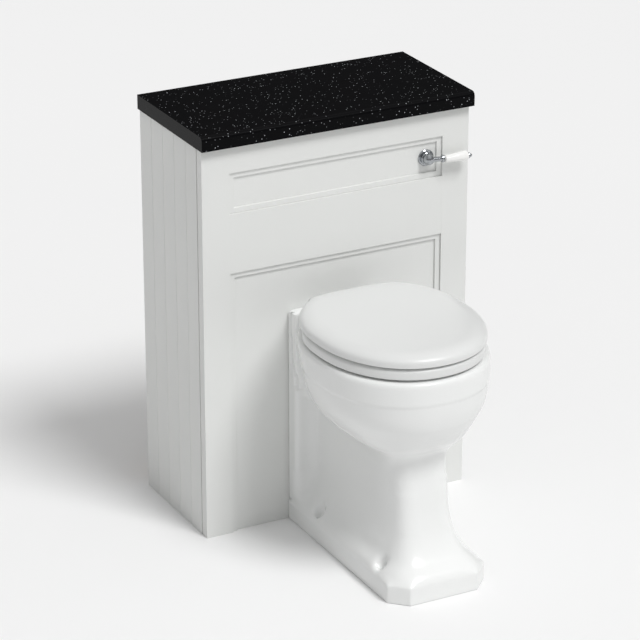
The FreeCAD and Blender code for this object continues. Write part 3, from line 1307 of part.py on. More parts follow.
def fill_backnut():
    start = Vector(FILL_X, CISTERN_MID_Y, CISTERN_BOTTOM - FILL_NUT_THICKNESS)
    return hexagon(FILL_NUT_RADIUS, FILL_SHANK_RADIUS, start, FILL_NUT_THICKNESS)


FLOAT_PIVOT = Vector(FLOAT_PIVOT_X, CISTERN_MID_Y, FLOAT_PIVOT_Z)
FLOAT_ALONG = Vector(math.cos(math.radians(FLOAT_DROOP)), 0, -math.sin(math.radians(FLOAT_DROOP)))
FLOAT_END = FLOAT_PIVOT + FLOAT_ALONG * FLOAT_ARM_LENGTH


def float_arm():
    """Brass arm with an eye on the valve's pin, hanging as it does in an empty cistern."""
    eye = rod(FLOAT_EYE_RADIUS, FLOAT_PIVOT - BACK * (FLOAT_EYE_WIDTH / 2), BACK, FLOAT_EYE_WIDTH)
    arm = rod(FLOAT_ARM_RADIUS, FLOAT_PIVOT, FLOAT_ALONG, FLOAT_ARM_LENGTH)
    bore = FLOAT_PIVOT_RADIUS + PIN_CLEARANCE
    hole = rod(bore, FLOAT_PIVOT - BACK * FLOAT_EYE_WIDTH, BACK, 2 * FLOAT_EYE_WIDTH)
    return eye.fuse(arm).cut(hole)


def float_cup():
    """Hollow float that hangs upright from the end of the arm."""
    top = FLOAT_END + UP * FLOAT_ARM_RADIUS * 2
    body = rod(FLOAT_RADIUS, top - UP * FLOAT_HEIGHT, UP, FLOAT_HEIGHT)
    body = body.makeFillet(FLOAT_ROUND, edges_at(body, top.z) + edges_at(body, top.z - FLOAT_HEIGHT))
    return body.cut(rod(FLOAT_ARM_RADIUS, FLOAT_PIVOT, FLOAT_ALONG, FLOAT_ARM_LENGTH))


def build_cabinet():
    side = side_panel()
    blocks, block_screws = corner_blocks()
    side = side.cut(block_screws)
    left_stile = frame_bar(-HALF_WIDTH, -RECESS_HALF, 0, CABINET_HEIGHT).cut(block_screws)
    save("right_side_panel", side)
    save("left_side_panel", mirrored(side))
    save("left_stile", left_stile)
    save("right_stile", mirrored(left_stile))
    save("head_rail", frame_bar(-RECESS_HALF, RECESS_HALF, UPPER_RECESS_TOP, CABINET_HEIGHT))
    save("mid_rail", frame_bar(-RECESS_HALF, RECESS_HALF, LOWER_RECESS_TOP, UPPER_RECESS_BOTTOM))
    save("frame_dowels", *frame_dowels())
    bush_hole = rod(BUSH_RADIUS, LEVER_AXIS, BACK, FRAME_THICKNESS)
    save("upper_panel", UPPER_PANEL.cut(bush_hole))
    outlet = Vector(0, PANEL_Y, OUTLET_HEIGHT)
    inlet = Vector(0, PANEL_Y, INLET_HEIGHT)
    save("lower_panel", LOWER_PANEL.cut([
        rod(OUTLET_RADIUS + PANEL_HOLE_CLEARANCE, outlet, BACK, FRAME_THICKNESS),
        rod(INLET_RADIUS + PANEL_HOLE_CLEARANCE, inlet, BACK, FRAME_THICKNESS),
    ]))
    save("upper_bead", bead(UPPER_RECESS_TOP, UPPER_RECESS_BOTTOM))
    save("lower_bead", bead(LOWER_RECESS_TOP, 0))
    top_rail = back_rail(CABINET_HEIGHT - TOP_RAIL_DROP, TOP_RAIL_DROP)
    save("top_back_rail", top_rail.cut(wall_holes() + block_screws + [cistern_screw(-1), cistern_screw(1)]))
    save("low_back_rail", back_rail(LOW_RAIL_BOTTOM, LOW_RAIL_HEIGHT).cut(block_screws))
    save("front_stretcher", block(
        -INNER_HALF, INNER_HALF, FRAME_BACK_Y, FRAME_BACK_Y + STRETCHER_DEPTH,
        CABINET_HEIGHT - RAIL_THICKNESS, CABINET_HEIGHT))
    save("corner_blocks", *blocks)
    save("corner_block_screws", *block_screws)


def build_worktop():
    strips, screws = battens()
    save("worktop", worktop().cut(screws))
    save("worktop_battens", *strips)
    save("batten_screws", *screws)


def build_pan_and_seat():
    save("pan", pan())
    save("hinge_posts", hinge_post(), mirrored(hinge_post()))
    save("hinge_pins", hinge_pin(), mirrored(hinge_pin()))
    save("hinge_bolts", hinge_bolt(), mirrored(hinge_bolt()))
    save("hinge_plugs", hinge_plug(), mirrored(hinge_plug()))
    save("seat_ring", seat_ring())
    save("seat_buffers", *SEAT_BUFFERS)
    save("lid", lid())
    save("lid_buffers", *LID_BUFFERS)


def build_lever():
    save("lever_rose", lever_rose())
    save("lever_bush", lever_bush())
    save("lever_backnut", lever_backnut())
    save("lever_arm", lever_arm())
    save("lever_ferrule", lever_ferrule())
    save("lever_grip", lever_grip())
    save("lever_stud", lever_stud())
    save("lever_finial", lever_finial())
    save("lever_spindle", lever_spindle())
    save("crank_arm", crank_arm())
    save("spindle_grommet", spindle_grommet())


def build_cistern():
    save("cistern_tank", cistern_tank())
    save("cistern_lid", cistern_lid())
    save("cistern_screws", cistern_screw(-1), cistern_screw(1))
    save("siphon_body", siphon_body())
    save("siphon_washer", siphon_washer())
    save("siphon_backnut", siphon_backnut())
    save("piston_plate", piston_plate())
    save("piston_flap", piston_flap())
    save("piston_rod", piston_rod())
    save("lift_link", lift_link())
    save("flush_pipe", flush_pipe())
    save("flush_pipe_nut", flush_pipe_nut())
    save("flush_cone", flush_cone())
    save("soil_connector", soil_connector())
    save("soil_seal", soil_seal())
    save("fill_valve", fill_valve())
    save("fill_washer", fill_washer())
    save("fill_backnut", fill_backnut())
    save("float_arm", float_arm())
    save("float_cup", float_cup())


os.makedirs("parts", exist_ok=True)
build_cabinet()
build_worktop()
build_pan_and_seat()
build_lever()
build_cistern()
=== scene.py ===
import math

import bmesh
import bpy
from mathutils import Matrix, Vector


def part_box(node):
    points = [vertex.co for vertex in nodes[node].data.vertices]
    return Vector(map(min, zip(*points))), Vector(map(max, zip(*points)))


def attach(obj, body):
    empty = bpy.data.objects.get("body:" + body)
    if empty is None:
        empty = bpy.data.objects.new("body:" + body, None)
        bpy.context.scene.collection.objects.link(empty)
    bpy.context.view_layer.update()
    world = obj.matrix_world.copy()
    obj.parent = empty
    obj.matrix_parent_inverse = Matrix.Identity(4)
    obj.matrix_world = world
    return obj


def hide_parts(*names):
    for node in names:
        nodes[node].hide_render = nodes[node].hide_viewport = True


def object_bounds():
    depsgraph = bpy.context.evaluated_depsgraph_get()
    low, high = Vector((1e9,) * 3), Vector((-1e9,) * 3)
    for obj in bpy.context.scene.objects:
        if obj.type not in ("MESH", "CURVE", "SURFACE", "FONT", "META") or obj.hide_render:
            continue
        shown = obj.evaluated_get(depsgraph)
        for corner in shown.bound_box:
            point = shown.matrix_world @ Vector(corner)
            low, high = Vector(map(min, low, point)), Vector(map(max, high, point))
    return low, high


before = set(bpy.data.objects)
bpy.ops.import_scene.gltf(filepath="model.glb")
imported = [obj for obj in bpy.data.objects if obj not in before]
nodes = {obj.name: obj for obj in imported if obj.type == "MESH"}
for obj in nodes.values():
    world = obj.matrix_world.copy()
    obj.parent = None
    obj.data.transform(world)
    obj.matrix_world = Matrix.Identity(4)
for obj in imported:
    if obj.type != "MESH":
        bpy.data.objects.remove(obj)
cad_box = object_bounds()
MM = 0.001


# Painted boards: the grooved sides, the front frame and its two inset panels.
# They are machined from moisture-proof fibre board, with eased edges, and sprayed white before they are
# glued and dowelled together.
BOARD_WHITE = "#e7e8e6"
BOARD_SHADE = "#e2e3e1"
BOARD_EASE = 0.9 * MM
EASE_STEPS = 2
EASED_FROM = math.radians(40)
BOARD_CLOUD = 180 * MM
SPRAY_STIPPLE = 5 * MM
PAINTED_BOARDS = (
    "left_side_panel", "right_side_panel", "left_stile", "right_stile", "head_rail", "mid_rail",
    "upper_panel", "lower_panel",
)
MERGE = 0.01 * MM
FLAT = math.radians(0.5)


def linear(code):
    """Linear colour of an sRGB hex code."""
    shares = [int(code[at:at + 2], 16) / 255 for at in (1, 3, 5)]
    return [s / 12.92 if s <= 0.04045 else ((s + 0.055) / 1.055) ** 2.4 for s in shares] + [1.0]


def add(tree, kind, sockets, **settings):
    """Adds a node with its settings; each socket gets a value or a link from another node's output."""
    node = tree.nodes.new(kind)
    for name, value in settings.items():
        setattr(node, name, value)
    for socket, value in sockets.items():
        if isinstance(value, bpy.types.NodeSocket):
            tree.links.new(value, node.inputs[socket])
        else:
            node.inputs[socket].default_value = value
    return node


def finish(name, dark, light, cloud, grain, roughness, relief, stretch=(1, 1, 1), **sockets):
    """Material whose tone follows a broad cloud, and whose gloss and relief follow a fine grain."""
    material = bpy.data.materials.new(name)
    material.use_nodes = True
    tree = material.node_tree
    tree.nodes.clear()
    place = add(tree, "ShaderNodeTexCoord", {}).outputs["Object"]
    along = add(tree, "ShaderNodeMapping", {"Vector": place, "Scale": stretch}).outputs[0]
    broad = add(tree, "ShaderNodeTexNoise", {"Vector": along, "Scale": 1 / cloud, "Detail": 3.0})
    fine = add(tree, "ShaderNodeTexNoise", {"Vector": along, "Scale": 1 / grain, "Detail": 2.0})
    tone = add(tree, "ShaderNodeMix", {
        0: broad.outputs[0], 6: linear(dark), 7: linear(light)}, data_type="RGBA")
    gloss = add(tree, "ShaderNodeMapRange", {0: fine.outputs[0], 3: roughness[0], 4: roughness[1]})
    bump = add(tree, "ShaderNodeBump", {"Height": fine.outputs[0], "Distance": relief, "Strength": 1.0})
    shader = add(tree, "ShaderNodeBsdfPrincipled", {
        "Base Color": tone.outputs[2], "Roughness": gloss.outputs[0], "Normal": bump.outputs[0], **sockets})
    shader.name = "surface"
    add(tree, "ShaderNodeOutputMaterial", {"Surface": shader.outputs[0]})
    return material


def dress(piece, material):
    """Gives a piece one material."""
    piece.data.materials.clear()
    piece.data.materials.append(material)


def copy_of(node, name):
    """New piece from a CAD node's mesh, with its loose triangles merged and its flat faces made whole."""
    piece = bpy.data.objects.new(name, nodes[node].data.copy())
    bpy.context.scene.collection.objects.link(piece)
    form = bmesh.new()
    form.from_mesh(piece.data)
    bmesh.ops.remove_doubles(form, verts=form.verts, dist=MERGE)
    bmesh.ops.dissolve_limit(form, angle_limit=FLAT, verts=form.verts, edges=form.edges)
    for face in form.faces:
        face.smooth = True
    form.to_mesh(piece.data)
    form.free()
    if "custom_normal" in piece.data.attributes:
        piece.data.attributes.remove(piece.data.attributes["custom_normal"])
    return piece


# Sprayed satin paint gives a soft sheen with a faint stipple and a hardly seen drift of tone. The real
# stipple is about 1 mm, drawn at 5 mm so that it shows.
satin_paint = finish(
    "satin_painted_board", BOARD_SHADE, BOARD_WHITE, cloud=BOARD_CLOUD, grain=SPRAY_STIPPLE,
    roughness=(0.38, 0.48), relief=0.05 * MM)
for node in PAINTED_BOARDS:
    board = copy_of(node, node + "_painted")
    ease = board.modifiers.new("eased_edges", "BEVEL")
    ease.width = BOARD_EASE
    ease.segments = EASE_STEPS
    ease.limit_method = "ANGLE"
    ease.angle_limit = EASED_FROM
    ease.use_clamp_overlap = True
    board.modifiers.new("flat_faces", "WEIGHTED_NORMAL")
    dress(board, satin_paint)
    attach(board, "unit")
    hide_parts(node)


# Stepped beads: flat wooden lippings glued round both recesses, a step between the frame and the panels.
# They are sprayed together with the boards; the lower one runs down to the floor on both sides.
BEAD_WIDTH = 11.5 * MM
BEAD_EDGE = 0.7 * MM
BEAD_CORNER = 1.0


def piece_from(form, name):
    """New piece from a finished form."""
    piece = bpy.data.objects.new(name, bpy.data.meshes.new(name))
    bpy.context.scene.collection.objects.link(piece)
    form.to_mesh(piece.data)
    form.free()
    return piece


for node in ("upper_bead", "lower_bead"):
    low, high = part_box(node)
    to_floor = low.z - cad_box[0][2] < MM
    sill = low.z - BEAD_WIDTH if to_floor else low.z
    form = bmesh.new()
    bmesh.ops.create_grid(form, x_segments=1, y_segments=1, size=0.5)
    bmesh.ops.rotate(form, verts=form.verts, matrix=Matrix.Rotation(math.radians(90), 3, "X"))
    bmesh.ops.scale(form, verts=form.verts, vec=(high.x - low.x, 1, high.z - sill))
    bmesh.ops.translate(form, verts=form.verts, vec=((low.x + high.x) / 2, low.y, (sill + high.z) / 2))
    lipping = bmesh.ops.inset_region(
        form, faces=form.faces[:], thickness=BEAD_WIDTH, use_boundary=True, use_even_offset=True)["faces"]
    bmesh.ops.delete(form, geom=[face for face in form.faces if face not in lipping], context="FACES")
    deep = bmesh.ops.extrude_face_region(form, geom=form.faces[:])["geom"]
    deep_verts = [part for part in deep if isinstance(part, bmesh.types.BMVert)]
    bmesh.ops.translate(form, verts=deep_verts, vec=(0, high.y - low.y, 0))
    bmesh.ops.recalc_face_normals(form, faces=form.faces)
    front = [edge for edge in form.edges if max(vert.co.y for vert in edge.verts) < low.y + MERGE]
    corners = [edge for edge in front if edge.calc_face_angle(0) > BEAD_CORNER]
    bmesh.ops.bevel(
        form, geom=corners, affect="EDGES", offset=BEAD_EDGE, segments=EASE_STEPS, profile=0.5, material=-1)
    if to_floor:
        whole = form.verts[:] + form.edges[:] + form.faces[:]
        bmesh.ops.bisect_plane(
            form, geom=whole, plane_co=(0, 0, low.z), plane_no=(0, 0, 1), clear_inner=True)
        bmesh.ops.holes_fill(form, edges=form.edges, sides=0)
        bmesh.ops.recalc_face_normals(form, faces=form.faces)
    bead = piece_from(form, node + "_painted")
    dress(bead, satin_paint)
    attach(bead, "unit")
    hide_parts(node)


# Rails, stretcher, dowels and battens: planed softwood, left bare where nobody looks.
# The dowels join the front frame, corner blocks hold the back rails, and the battens are screwed up under
# the worktop.
BARE_WOODS = ("frame_dowels", "top_back_rail", "low_back_rail", "front_stretcher", "worktop_battens")
WOOD_GRAIN = 6 * MM
# Planed pine shows straight darker grain along the rail, drawn at 6 mm spacing, and hardly any gloss.
planed_pine = finish(
    "planed_pine", "#b88f5c", "#dcc096", cloud=WOOD_GRAIN, grain=WOOD_GRAIN / 3, roughness=(0.55, 0.7),
    relief=0.08 * MM, stretch=(0.04, 1, 1))
for node in BARE_WOODS:
    dress(nodes[node], planed_pine)


# Corner blocks: injection-moulded nylon blocks that hold the sides square to the front frame and the back
# rails. Each is fixed with two screws.
# Moulded nylon: off-white and matt. The mould's fine pebble is drawn at 1.5 mm so that it shows.
moulded_nylon = finish(
    "moulded_nylon", "#cfcdc6", "#dbd9d3", cloud=20 * MM, grain=1.5 * MM, roughness=(0.45, 0.6),
    relief=0.03 * MM)
dress(nodes["corner_blocks"], moulded_nylon)


# Screws, hinge bolts and the siphon's rod: rolled steel with a bright zinc coat.
# The screws hold the blocks, the battens and the tank, and the bolts hold the hinge posts on the pan.
STEEL_PIECES = ("corner_block_screws", "batten_screws", "cistern_screws", "hinge_bolts", "piston_rod")
# Zinc plate: a cool pale grey with a cloudy, slightly dull shine, its fine haze drawn at 2 mm.
zinc_steel = finish(
    "zinc_plated_steel", "#a6abb0", "#c3c7ca", cloud=8 * MM, grain=2 * MM, roughness=(0.25, 0.42),
    relief=0.01 * MM, Metallic=1.0)
for node in STEEL_PIECES:
    dress(nodes[node], zinc_steel)


# Worktop: one slab of black engineered stone, sawn, polished and rounded along its front edge.
# It lies loose on the sides and is kept in place by its two battens.
FLECK_SPACING = 6 * MM
FLECK_SIZE = (0.08, 0.2)
FLECK_BRIGHTNESS = (0.45, 0.9)
FLECK_SILVER = "#c9ccd0"
# Polished black stone: almost no colour of its own, a dark gloss, and sparse silver chips, each with its
# own brightness. The chips are about 1 mm, drawn up to 2 mm across so that they show.
polished_stone = finish(
    "polished_black_stone", "#060607", "#0b0b0d", cloud=30 * MM, grain=3 * MM, roughness=(0.2, 0.28),
    relief=0.004 * MM, **{"Specular IOR Level": 0.05})
tree = polished_stone.node_tree
place = add(tree, "ShaderNodeTexCoord", {}).outputs["Object"]
chips = add(tree, "ShaderNodeTexVoronoi", {"Vector": place, "Scale": 1 / FLECK_SPACING})
chip = add(tree, "ShaderNodeMapRange", {
    0: chips.outputs["Distance"], 1: FLECK_SIZE[0], 2: FLECK_SIZE[1], 3: 1.0, 4: 0.0})
glint = add(tree, "ShaderNodeSeparateColor", {0: chips.outputs["Color"]})
bright = add(tree, "ShaderNodeMapRange", {
    0: glint.outputs[0], 1: FLECK_BRIGHTNESS[0], 2: FLECK_BRIGHTNESS[1], 3: 0.0, 4: 1.0})
share = add(tree, "ShaderNodeMath", {0: chip.outputs[0], 1: bright.outputs[0]}, operation="MULTIPLY")
surface = tree.nodes["surface"]
ground = surface.inputs["Base Color"].links[0].from_socket
flecked = add(tree, "ShaderNodeMix", {
    0: share.outputs[0], 6: ground, 7: linear(FLECK_SILVER)}, data_type="RGBA")
tree.links.new(flecked.outputs[2], surface.inputs["Base Color"])
dress(nodes["worktop"], polished_stone)


# Pan: one vitreous china casting, slip-cast in a plaster mould, dipped in white glaze and fired.
# It stands on the floor against the lower panel; every edge of it is softened by the clay and the glaze.
PAN_WIDEST_Y = -149.5 * MM
PAN_BACK_Y = 86 * MM
SOLE = 0.1 * MM
HINGE_HOLE_RADIUS = 7 * MM
HOLE_SLACK = 0.2 * MM
PAN_VOXEL = 2.8 * MM
PAN_SOFTENING = 4
PAN_KEPT = 0.4
SETTLE = 0.5
# The bowl's back draws in like an egg: its end moves forward from the rim's top down to the throat.
RIM_TOP = 466 * MM
BOWL_END_Y = 42 * MM
BOWL_END_DRAW = 137 * MM
BOWL_END_CURVE = 1.4
BOWL_POWER = 2.1
RIM_POWER = 2.5
RIM_SHARE = 0.25
# The stem's sides run through a cove into the flange, which is flush with the foot.
STEM_HALF = 66 * MM
COVE_RADIUS = 36 * MM
COVE_Y = 16.5 * MM
FLANGE_FRONT_Y = 47 * MM
FLANGE_CORE = 88 * MM
FLANGE_CAST_HALF = 100 * MM
FLANGE_HALF = 109.5 * MM
# The throat sits between the stem and the bowl and flows into both.
THROAT_BELOW = 90 * MM
THROAT = 256 * MM
THROAT_ABOVE = 418 * MM
THROAT_LIFT = 22 * MM
THROAT_REACHES = (80 * MM, 55 * MM, 30 * MM)
THROAT_PASSES = 90
# The foot's ledge runs up into the stem in one sweep.
LEDGE_BOTTOM = 38 * MM
LEDGE_TOP = 120 * MM
LEDGE_PASSES = 45


def flow(form, verts, passes):
    """Lets points settle between their neighbours, as wet clay does."""
    for _ in range(passes):
        bmesh.ops.smooth_vert(
            form, verts=verts, factor=SETTLE, use_axis_x=True, use_axis_y=True, use_axis_z=True)


# The shown skin is closed under the foot and under the hinge posts, and has no hollow core.
pan = copy_of("pan", "pan_china")
form = bmesh.new()
form.from_mesh(pan.data)
bolts_low, bolts_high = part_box("hinge_bolts")
bolt_x = bolts_high.x - (bolts_high.y - bolts_low.y) / 2
bolt_y = (bolts_low.y + bolts_high.y) / 2
closed = []
for face in form.faces:
    under = max(vert.co.z for vert in face.verts) < SOLE
    off_bolt = max(math.hypot(abs(vert.co.x) - bolt_x, vert.co.y - bolt_y) for vert in face.verts)
    if under or off_bolt < HINGE_HOLE_RADIUS + HOLE_SLACK:
        closed.append(face)
bmesh.ops.delete(form, geom=closed, context="FACES")
skin = {min(form.verts, key=lambda vert: vert.co.y)}
waiting = list(skin)
while waiting:
    vert = waiting.pop()
    for edge in vert.link_edges:
        other = edge.other_vert(vert)
        if other not in skin:
            skin.add(other)
            waiting.append(other)
bmesh.ops.delete(form, geom=[vert for vert in form.verts if vert not in skin], context="VERTS")
bmesh.ops.holes_fill(form, edges=form.edges, sides=0)
form.to_mesh(pan.data)
form.free()
grid = pan.modifiers.new("even_skin", "REMESH")
grid.mode = "VOXEL"
grid.voxel_size = PAN_VOXEL
grid.use_smooth_shade = True
pan.data = bpy.data.meshes.new_from_object(pan.evaluated_get(bpy.context.evaluated_depsgraph_get()))
pan.modifiers.clear()
# The even skin is drawn to its fired form and let flow at the ledge and the throat.
form = bmesh.new()
form.from_mesh(pan.data)
for vert in form.verts:
    x, y, z = vert.co
    across = abs(x)
    if y > FLANGE_FRONT_Y and FLANGE_CORE < across < FLANGE_CAST_HALF + MM:
        share = min((across - FLANGE_CORE) / (FLANGE_CAST_HALF - FLANGE_CORE), 1)
        across += (FLANGE_HALF - FLANGE_CAST_HALF) * share
    lift = min((z - THROAT_BELOW) / (THROAT - THROAT_BELOW), (THROAT_ABOVE - z) / (THROAT_ABOVE - THROAT))
    z += THROAT_LIFT * max(lift, 0)
    cove = max(y - COVE_Y, 0)
    stem = FLANGE_HALF
    if cove < COVE_RADIUS:
        stem = STEM_HALF + COVE_RADIUS - math.sqrt(COVE_RADIUS ** 2 - cove ** 2)
    if z > THROAT and across > stem and y > PAN_WIDEST_Y:
        fall = min(max((RIM_TOP - z) / (RIM_TOP - THROAT - THROAT_LIFT), 0), 1)
        end_y = BOWL_END_Y - BOWL_END_DRAW * fall ** BOWL_END_CURVE
        power = RIM_POWER + (BOWL_POWER - RIM_POWER) * min(fall / RIM_SHARE, 1)
        back = min((y - PAN_WIDEST_Y) / (end_y - PAN_WIDEST_Y), 1)
        across = stem + (across - stem) * (1 - back ** power) ** (1 / power)
    vert.co = (math.copysign(across, x), y, z)
ledge = [
    vert for vert in form.verts
    if LEDGE_BOTTOM < vert.co.z < LEDGE_TOP and vert.co.y < PAN_BACK_Y]
flow(form, ledge, LEDGE_PASSES)
form.normal_update()
outside = []
for vert in form.verts:
    from_axis = vert.co - Vector((0, PAN_WIDEST_Y, vert.co.z))
    if vert.normal.dot(from_axis) > 0:
        outside.append(vert)
for reach in THROAT_REACHES:
    throat = [
        vert for vert in outside
        if vert.co.y < FLANGE_FRONT_Y and abs(vert.co.z - THROAT - THROAT_LIFT) < reach]
    flow(form, throat, THROAT_PASSES)
form.to_mesh(pan.data)
form.free()
soften = pan.modifiers.new("softened_edges", "SMOOTH")
soften.factor = SETTLE
soften.iterations = PAN_SOFTENING
thin = pan.modifiers.new("lighter_skin", "DECIMATE")
thin.ratio = PAN_KEPT
# Fired glaze: bright white with the least warmth, a clear reflection and a slow ripple left by the dip,
# drawn 45 mm wide.
glazed_china = finish(
    "glazed_china", "#edeeed", "#f1f2f1", cloud=220 * MM, grain=45 * MM, roughness=(0.16, 0.22),
    relief=0.08 * MM, **{"Specular IOR Level": 0.4})
dress(pan, glazed_china)
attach(pan, "unit")
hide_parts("pan")


# Seat and lid: pressed wood-flour board, rounded, primed and sprayed with a tough white satin paint.
# Both swing on one pair of hinge pins behind the bowl, and their back corners are drawn in like the rim's.
LID_END_Y = 36.5 * MM
LID_HALF = 172 * MM
LID_CORE = 96 * MM
LID_POWERS = (3.2, 2.45)
SHARP_EDGE = math.radians(35)
# Satin lacquer: smooth, a broad soft reflection and hardly any stipple, drawn at 6 mm.
satin_lacquer = finish(
    "satin_lacquered_board", "#dfe0df", "#e5e6e5", cloud=200 * MM, grain=6 * MM, roughness=(0.28, 0.36),
    relief=0.02 * MM)
for node in ("seat_ring", "lid"):
    board = copy_of(node, node + "_lacquered")
    form = bmesh.new()
    form.from_mesh(board.data)
    for vert in form.verts:
        back = (vert.co.y - PAN_WIDEST_Y) / (LID_END_Y - PAN_WIDEST_Y)
        out = abs(vert.co.x) - LID_CORE
        if out > 0 and 0 < back < 1:
            full, drawn = [LID_HALF * (1 - back ** power) ** (1 / power) - LID_CORE for power in LID_POWERS]
            vert.co.x = math.copysign(LID_CORE + out * max(drawn, 0) / max(full, MM), vert.co.x)
    for edge in form.edges:
        edge.smooth = edge.calc_face_angle(0) < SHARP_EDGE
    form.to_mesh(board.data)
    form.free()
    dress(board, satin_lacquer)
    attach(board, "seat" if node == "seat_ring" else "lid")
    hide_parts(node)


# Chromed fittings: the hinge posts and pins, and the flush lever's rose, arm, ferrule and end button.
# They are turned or cast in brass, polished, nickelled and chromed.
CHROMED_PIECES = ("hinge_posts", "hinge_pins", "lever_rose", "lever_arm", "lever_ferrule", "lever_finial")
# Polished chrome: a cool mirror with the faintest haze from wiping.
polished_chrome = finish(
    "polished_chrome", "#a4a7ab", "#b4b7ba", cloud=12 * MM, grain=3 * MM, roughness=(0.05, 0.10),
    relief=0.003 * MM, Metallic=1.0)
for node in CHROMED_PIECES:
    dress(nodes[node], polished_chrome)


# Lever grip: a small porcelain handle, turned while soft, glazed and fired, that sits on the lever's stud.
# It swells from the ferrule towards the end button. The profile has shares of its length and radii in
# millimetres.
GRIP_PROFILE = ((0.0, 6.6), (0.04, 7.6), (0.25, 8.2), (0.6, 9.6), (0.86, 10.8), (0.96, 10.2), (1.0, 7.0))
GRIP_STEPS = 32
GRIP_ROUNDING = 2
low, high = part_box("lever_grip")
middle = (low + high) / 2
form = bmesh.new()
line = []
for share, radius in GRIP_PROFILE:
    line.append(form.verts.new((low.x + share * (high.x - low.x), middle.y, middle.z + radius * MM)))
edges = [form.edges.new(pair) for pair in zip(line, line[1:])]
bmesh.ops.spin(
    form, geom=line + edges, cent=(0, middle.y, middle.z), axis=(1, 0, 0), angle=math.radians(360),
    steps=GRIP_STEPS, use_merge=True)
bmesh.ops.remove_doubles(form, verts=form.verts, dist=MERGE)
bmesh.ops.holes_fill(form, edges=form.edges, sides=0)
bmesh.ops.recalc_face_normals(form, faces=form.faces)
for face in form.faces:
    face.smooth = True
grip = piece_from(form, "lever_grip_turned")
round_off = grip.modifiers.new("round_off", "SUBSURF")
round_off.levels = GRIP_ROUNDING
round_off.render_levels = GRIP_ROUNDING
# Glazed porcelain: whiter and glossier than the pan.
glazed_porcelain = finish(
    "glazed_porcelain", "#f1f1ef", "#f5f5f3", cloud=15 * MM, grain=6 * MM, roughness=(0.05, 0.09),
    relief=0.02 * MM)
dress(grip, glazed_porcelain)
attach(grip, "lever")
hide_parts("lever_grip")


# Brass fittings inside the cabinet: bush, backnut, stud, spindle, crank and float arm, turned from bar.
# The bush and its nut clamp the rose to the upper panel, and the spindle turns in the bush.
BRASS_PIECES = ("lever_bush", "lever_backnut", "lever_stud", "lever_spindle", "crank_arm", "float_arm")
# Turned brass: nobody polishes it, so it has dulled unevenly in patches of about 9 mm.
turned_brass = finish(
    "turned_brass", "#a0843f", "#c3a55c", cloud=9 * MM, grain=1.5 * MM, roughness=(0.24, 0.42),
    relief=0.01 * MM, Metallic=1.0)
for node in BRASS_PIECES:
    dress(nodes[node], turned_brass)


# Buffers, plugs, washers, grommet, seals and the siphon's flap: moulded black rubber.
# They are pressed into their holes or squeezed between the pieces that they seal.
RUBBER_PIECES = (
    "hinge_plugs", "seat_buffers", "lid_buffers", "spindle_grommet", "siphon_washer", "fill_washer",
    "piston_flap", "flush_cone", "soil_seal",
)
# Moulded rubber: matt and near black, with a dusty grey bloom in patches.
moulded_rubber = finish(
    "moulded_rubber", "#232323", "#343434", cloud=10 * MM, grain=1.5 * MM, roughness=(0.65, 0.85),
    relief=0.04 * MM)
for node in RUBBER_PIECES:
    dress(nodes[node], moulded_rubber)


# Cistern and pipes: injection-moulded polypropylene and drawn white pipe, all behind the front frame.
# The tank hangs on two screws from the top back rail, and the pipes join on to the pan's two stubs.
CISTERN_PIECES = (
    "cistern_tank", "cistern_lid", "siphon_body", "siphon_backnut", "piston_plate", "lift_link",
    "flush_pipe", "flush_pipe_nut", "soil_connector", "fill_valve", "fill_backnut", "float_cup",
)
# Polypropylene: milky white with a dull moulded shine and a fine pebble, drawn at 2 mm so that it shows.
moulded_polypropylene = finish(
    "moulded_polypropylene", "#d8d9d4", "#e2e3de", cloud=60 * MM, grain=2 * MM, roughness=(0.36, 0.5),
    relief=0.03 * MM)
for node in CISTERN_PIECES:
    dress(nodes[node], moulded_polypropylene)


# Studio floor: a wide, plain, pale matt floor that catches the object's soft shadow.
# It is part of the stage and not of the object.
FLOOR_SIZE = 60.0
FLOOR_DROP = 0.2 * MM
form = bmesh.new()
bmesh.ops.create_grid(form, x_segments=1, y_segments=1, size=FLOOR_SIZE / 2)
bmesh.ops.translate(form, verts=form.verts, vec=(0, 0, cad_box[0][2] - FLOOR_DROP))
floor = piece_from(form, "studio_floor")
# Matt paper: no shine, the faintest cloud of tone.
matt_paper = finish(
    "matt_paper", "#f2f2f2", "#f5f5f5", cloud=2.0, grain=0.2, roughness=(0.9, 1.0), relief=0.01 * MM,
    **{"Specular IOR Level": 0.1})
dress(floor, matt_paper)


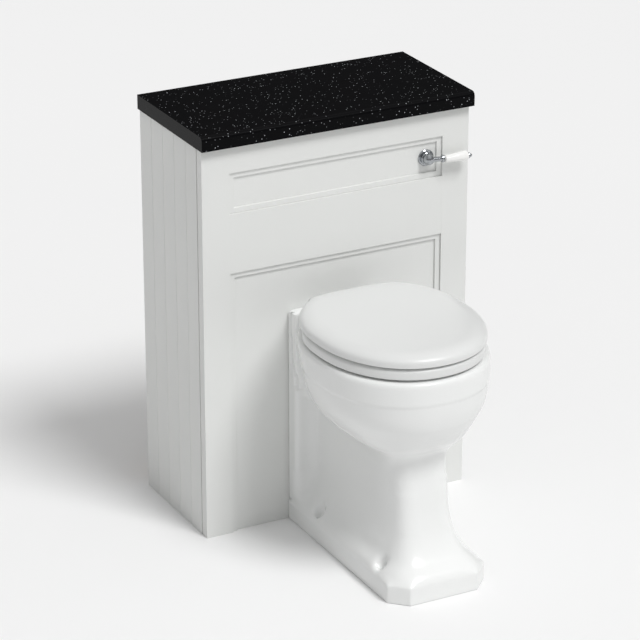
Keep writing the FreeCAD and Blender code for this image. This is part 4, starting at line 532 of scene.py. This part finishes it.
# Studio light: a soft key from the front right and above, and a pale dome that is brightest overhead,
# dimmer towards the front and both sides and dark behind the object.
KEY_FROM = Vector((0.18, -0.53, 0.83))
KEY_STRENGTH = 1.8
KEY_SOFTNESS = math.radians(20)
DOME_BACK_TO_FRONT = (0.6, -0.5)
DOME_HORIZON = (0.05, 0.30)
DOME_CLIMB = (0.38, 0.9)
DOME_OVERHEAD = 0.76
key = bpy.data.lights.new("soft_key", "SUN")
key.energy = KEY_STRENGTH
key.angle = KEY_SOFTNESS
key_object = bpy.data.objects.new("soft_key", key)
key_object.rotation_euler = KEY_FROM.to_track_quat("Z", "Y").to_euler()
bpy.context.scene.collection.objects.link(key_object)
world = bpy.data.worlds.new("studio_dome")
bpy.context.scene.world = world
world.use_nodes = True
tree = world.node_tree
tree.nodes.clear()
toward = add(tree, "ShaderNodeTexCoord", {}).outputs["Generated"]
along = add(tree, "ShaderNodeSeparateXYZ", {0: toward}).outputs
horizon = add(tree, "ShaderNodeMapRange", {
    0: along[1], 1: DOME_BACK_TO_FRONT[0], 2: DOME_BACK_TO_FRONT[1],
    3: DOME_HORIZON[0], 4: DOME_HORIZON[1]})
climb = add(tree, "ShaderNodeMapRange", {0: along[2], 1: DOME_CLIMB[0], 2: DOME_CLIMB[1], 3: 0.0, 4: 1.0})
glow = add(tree, "ShaderNodeMix", {0: climb.outputs[0], 2: horizon.outputs[0], 3: DOME_OVERHEAD})
sky = add(tree, "ShaderNodeBackground", {"Color": linear("#ffffff"), "Strength": glow.outputs[0]})
add(tree, "ShaderNodeOutputWorld", {"Surface": sky.outputs[0]})
bpy.context.scene.view_settings.view_transform = "Standard"


# Camera: a long lens from the front left and above, looking down on the worktop and the lid.
# It stands well back, so that the cabinet's edges run nearly parallel.
CAMERA_TARGET = Vector((0.0048, 0.1675, 0.393))
CAMERA_FROM = Vector((-0.4281, -0.8167, 0.3870))
CAMERA_DISTANCE = 6.326
CAMERA_LENS = 172.9
CAMERA_SENSOR = 36
camera = bpy.data.cameras.new("camera")
camera.lens = CAMERA_LENS
camera.sensor_width = CAMERA_SENSOR
camera_object = bpy.data.objects.new("camera", camera)
camera_object.location = CAMERA_TARGET + CAMERA_FROM * CAMERA_DISTANCE
camera_object.rotation_euler = CAMERA_FROM.to_track_quat("Z", "Y").to_euler()
bpy.context.scene.collection.objects.link(camera_object)
bpy.context.scene.camera = camera_object
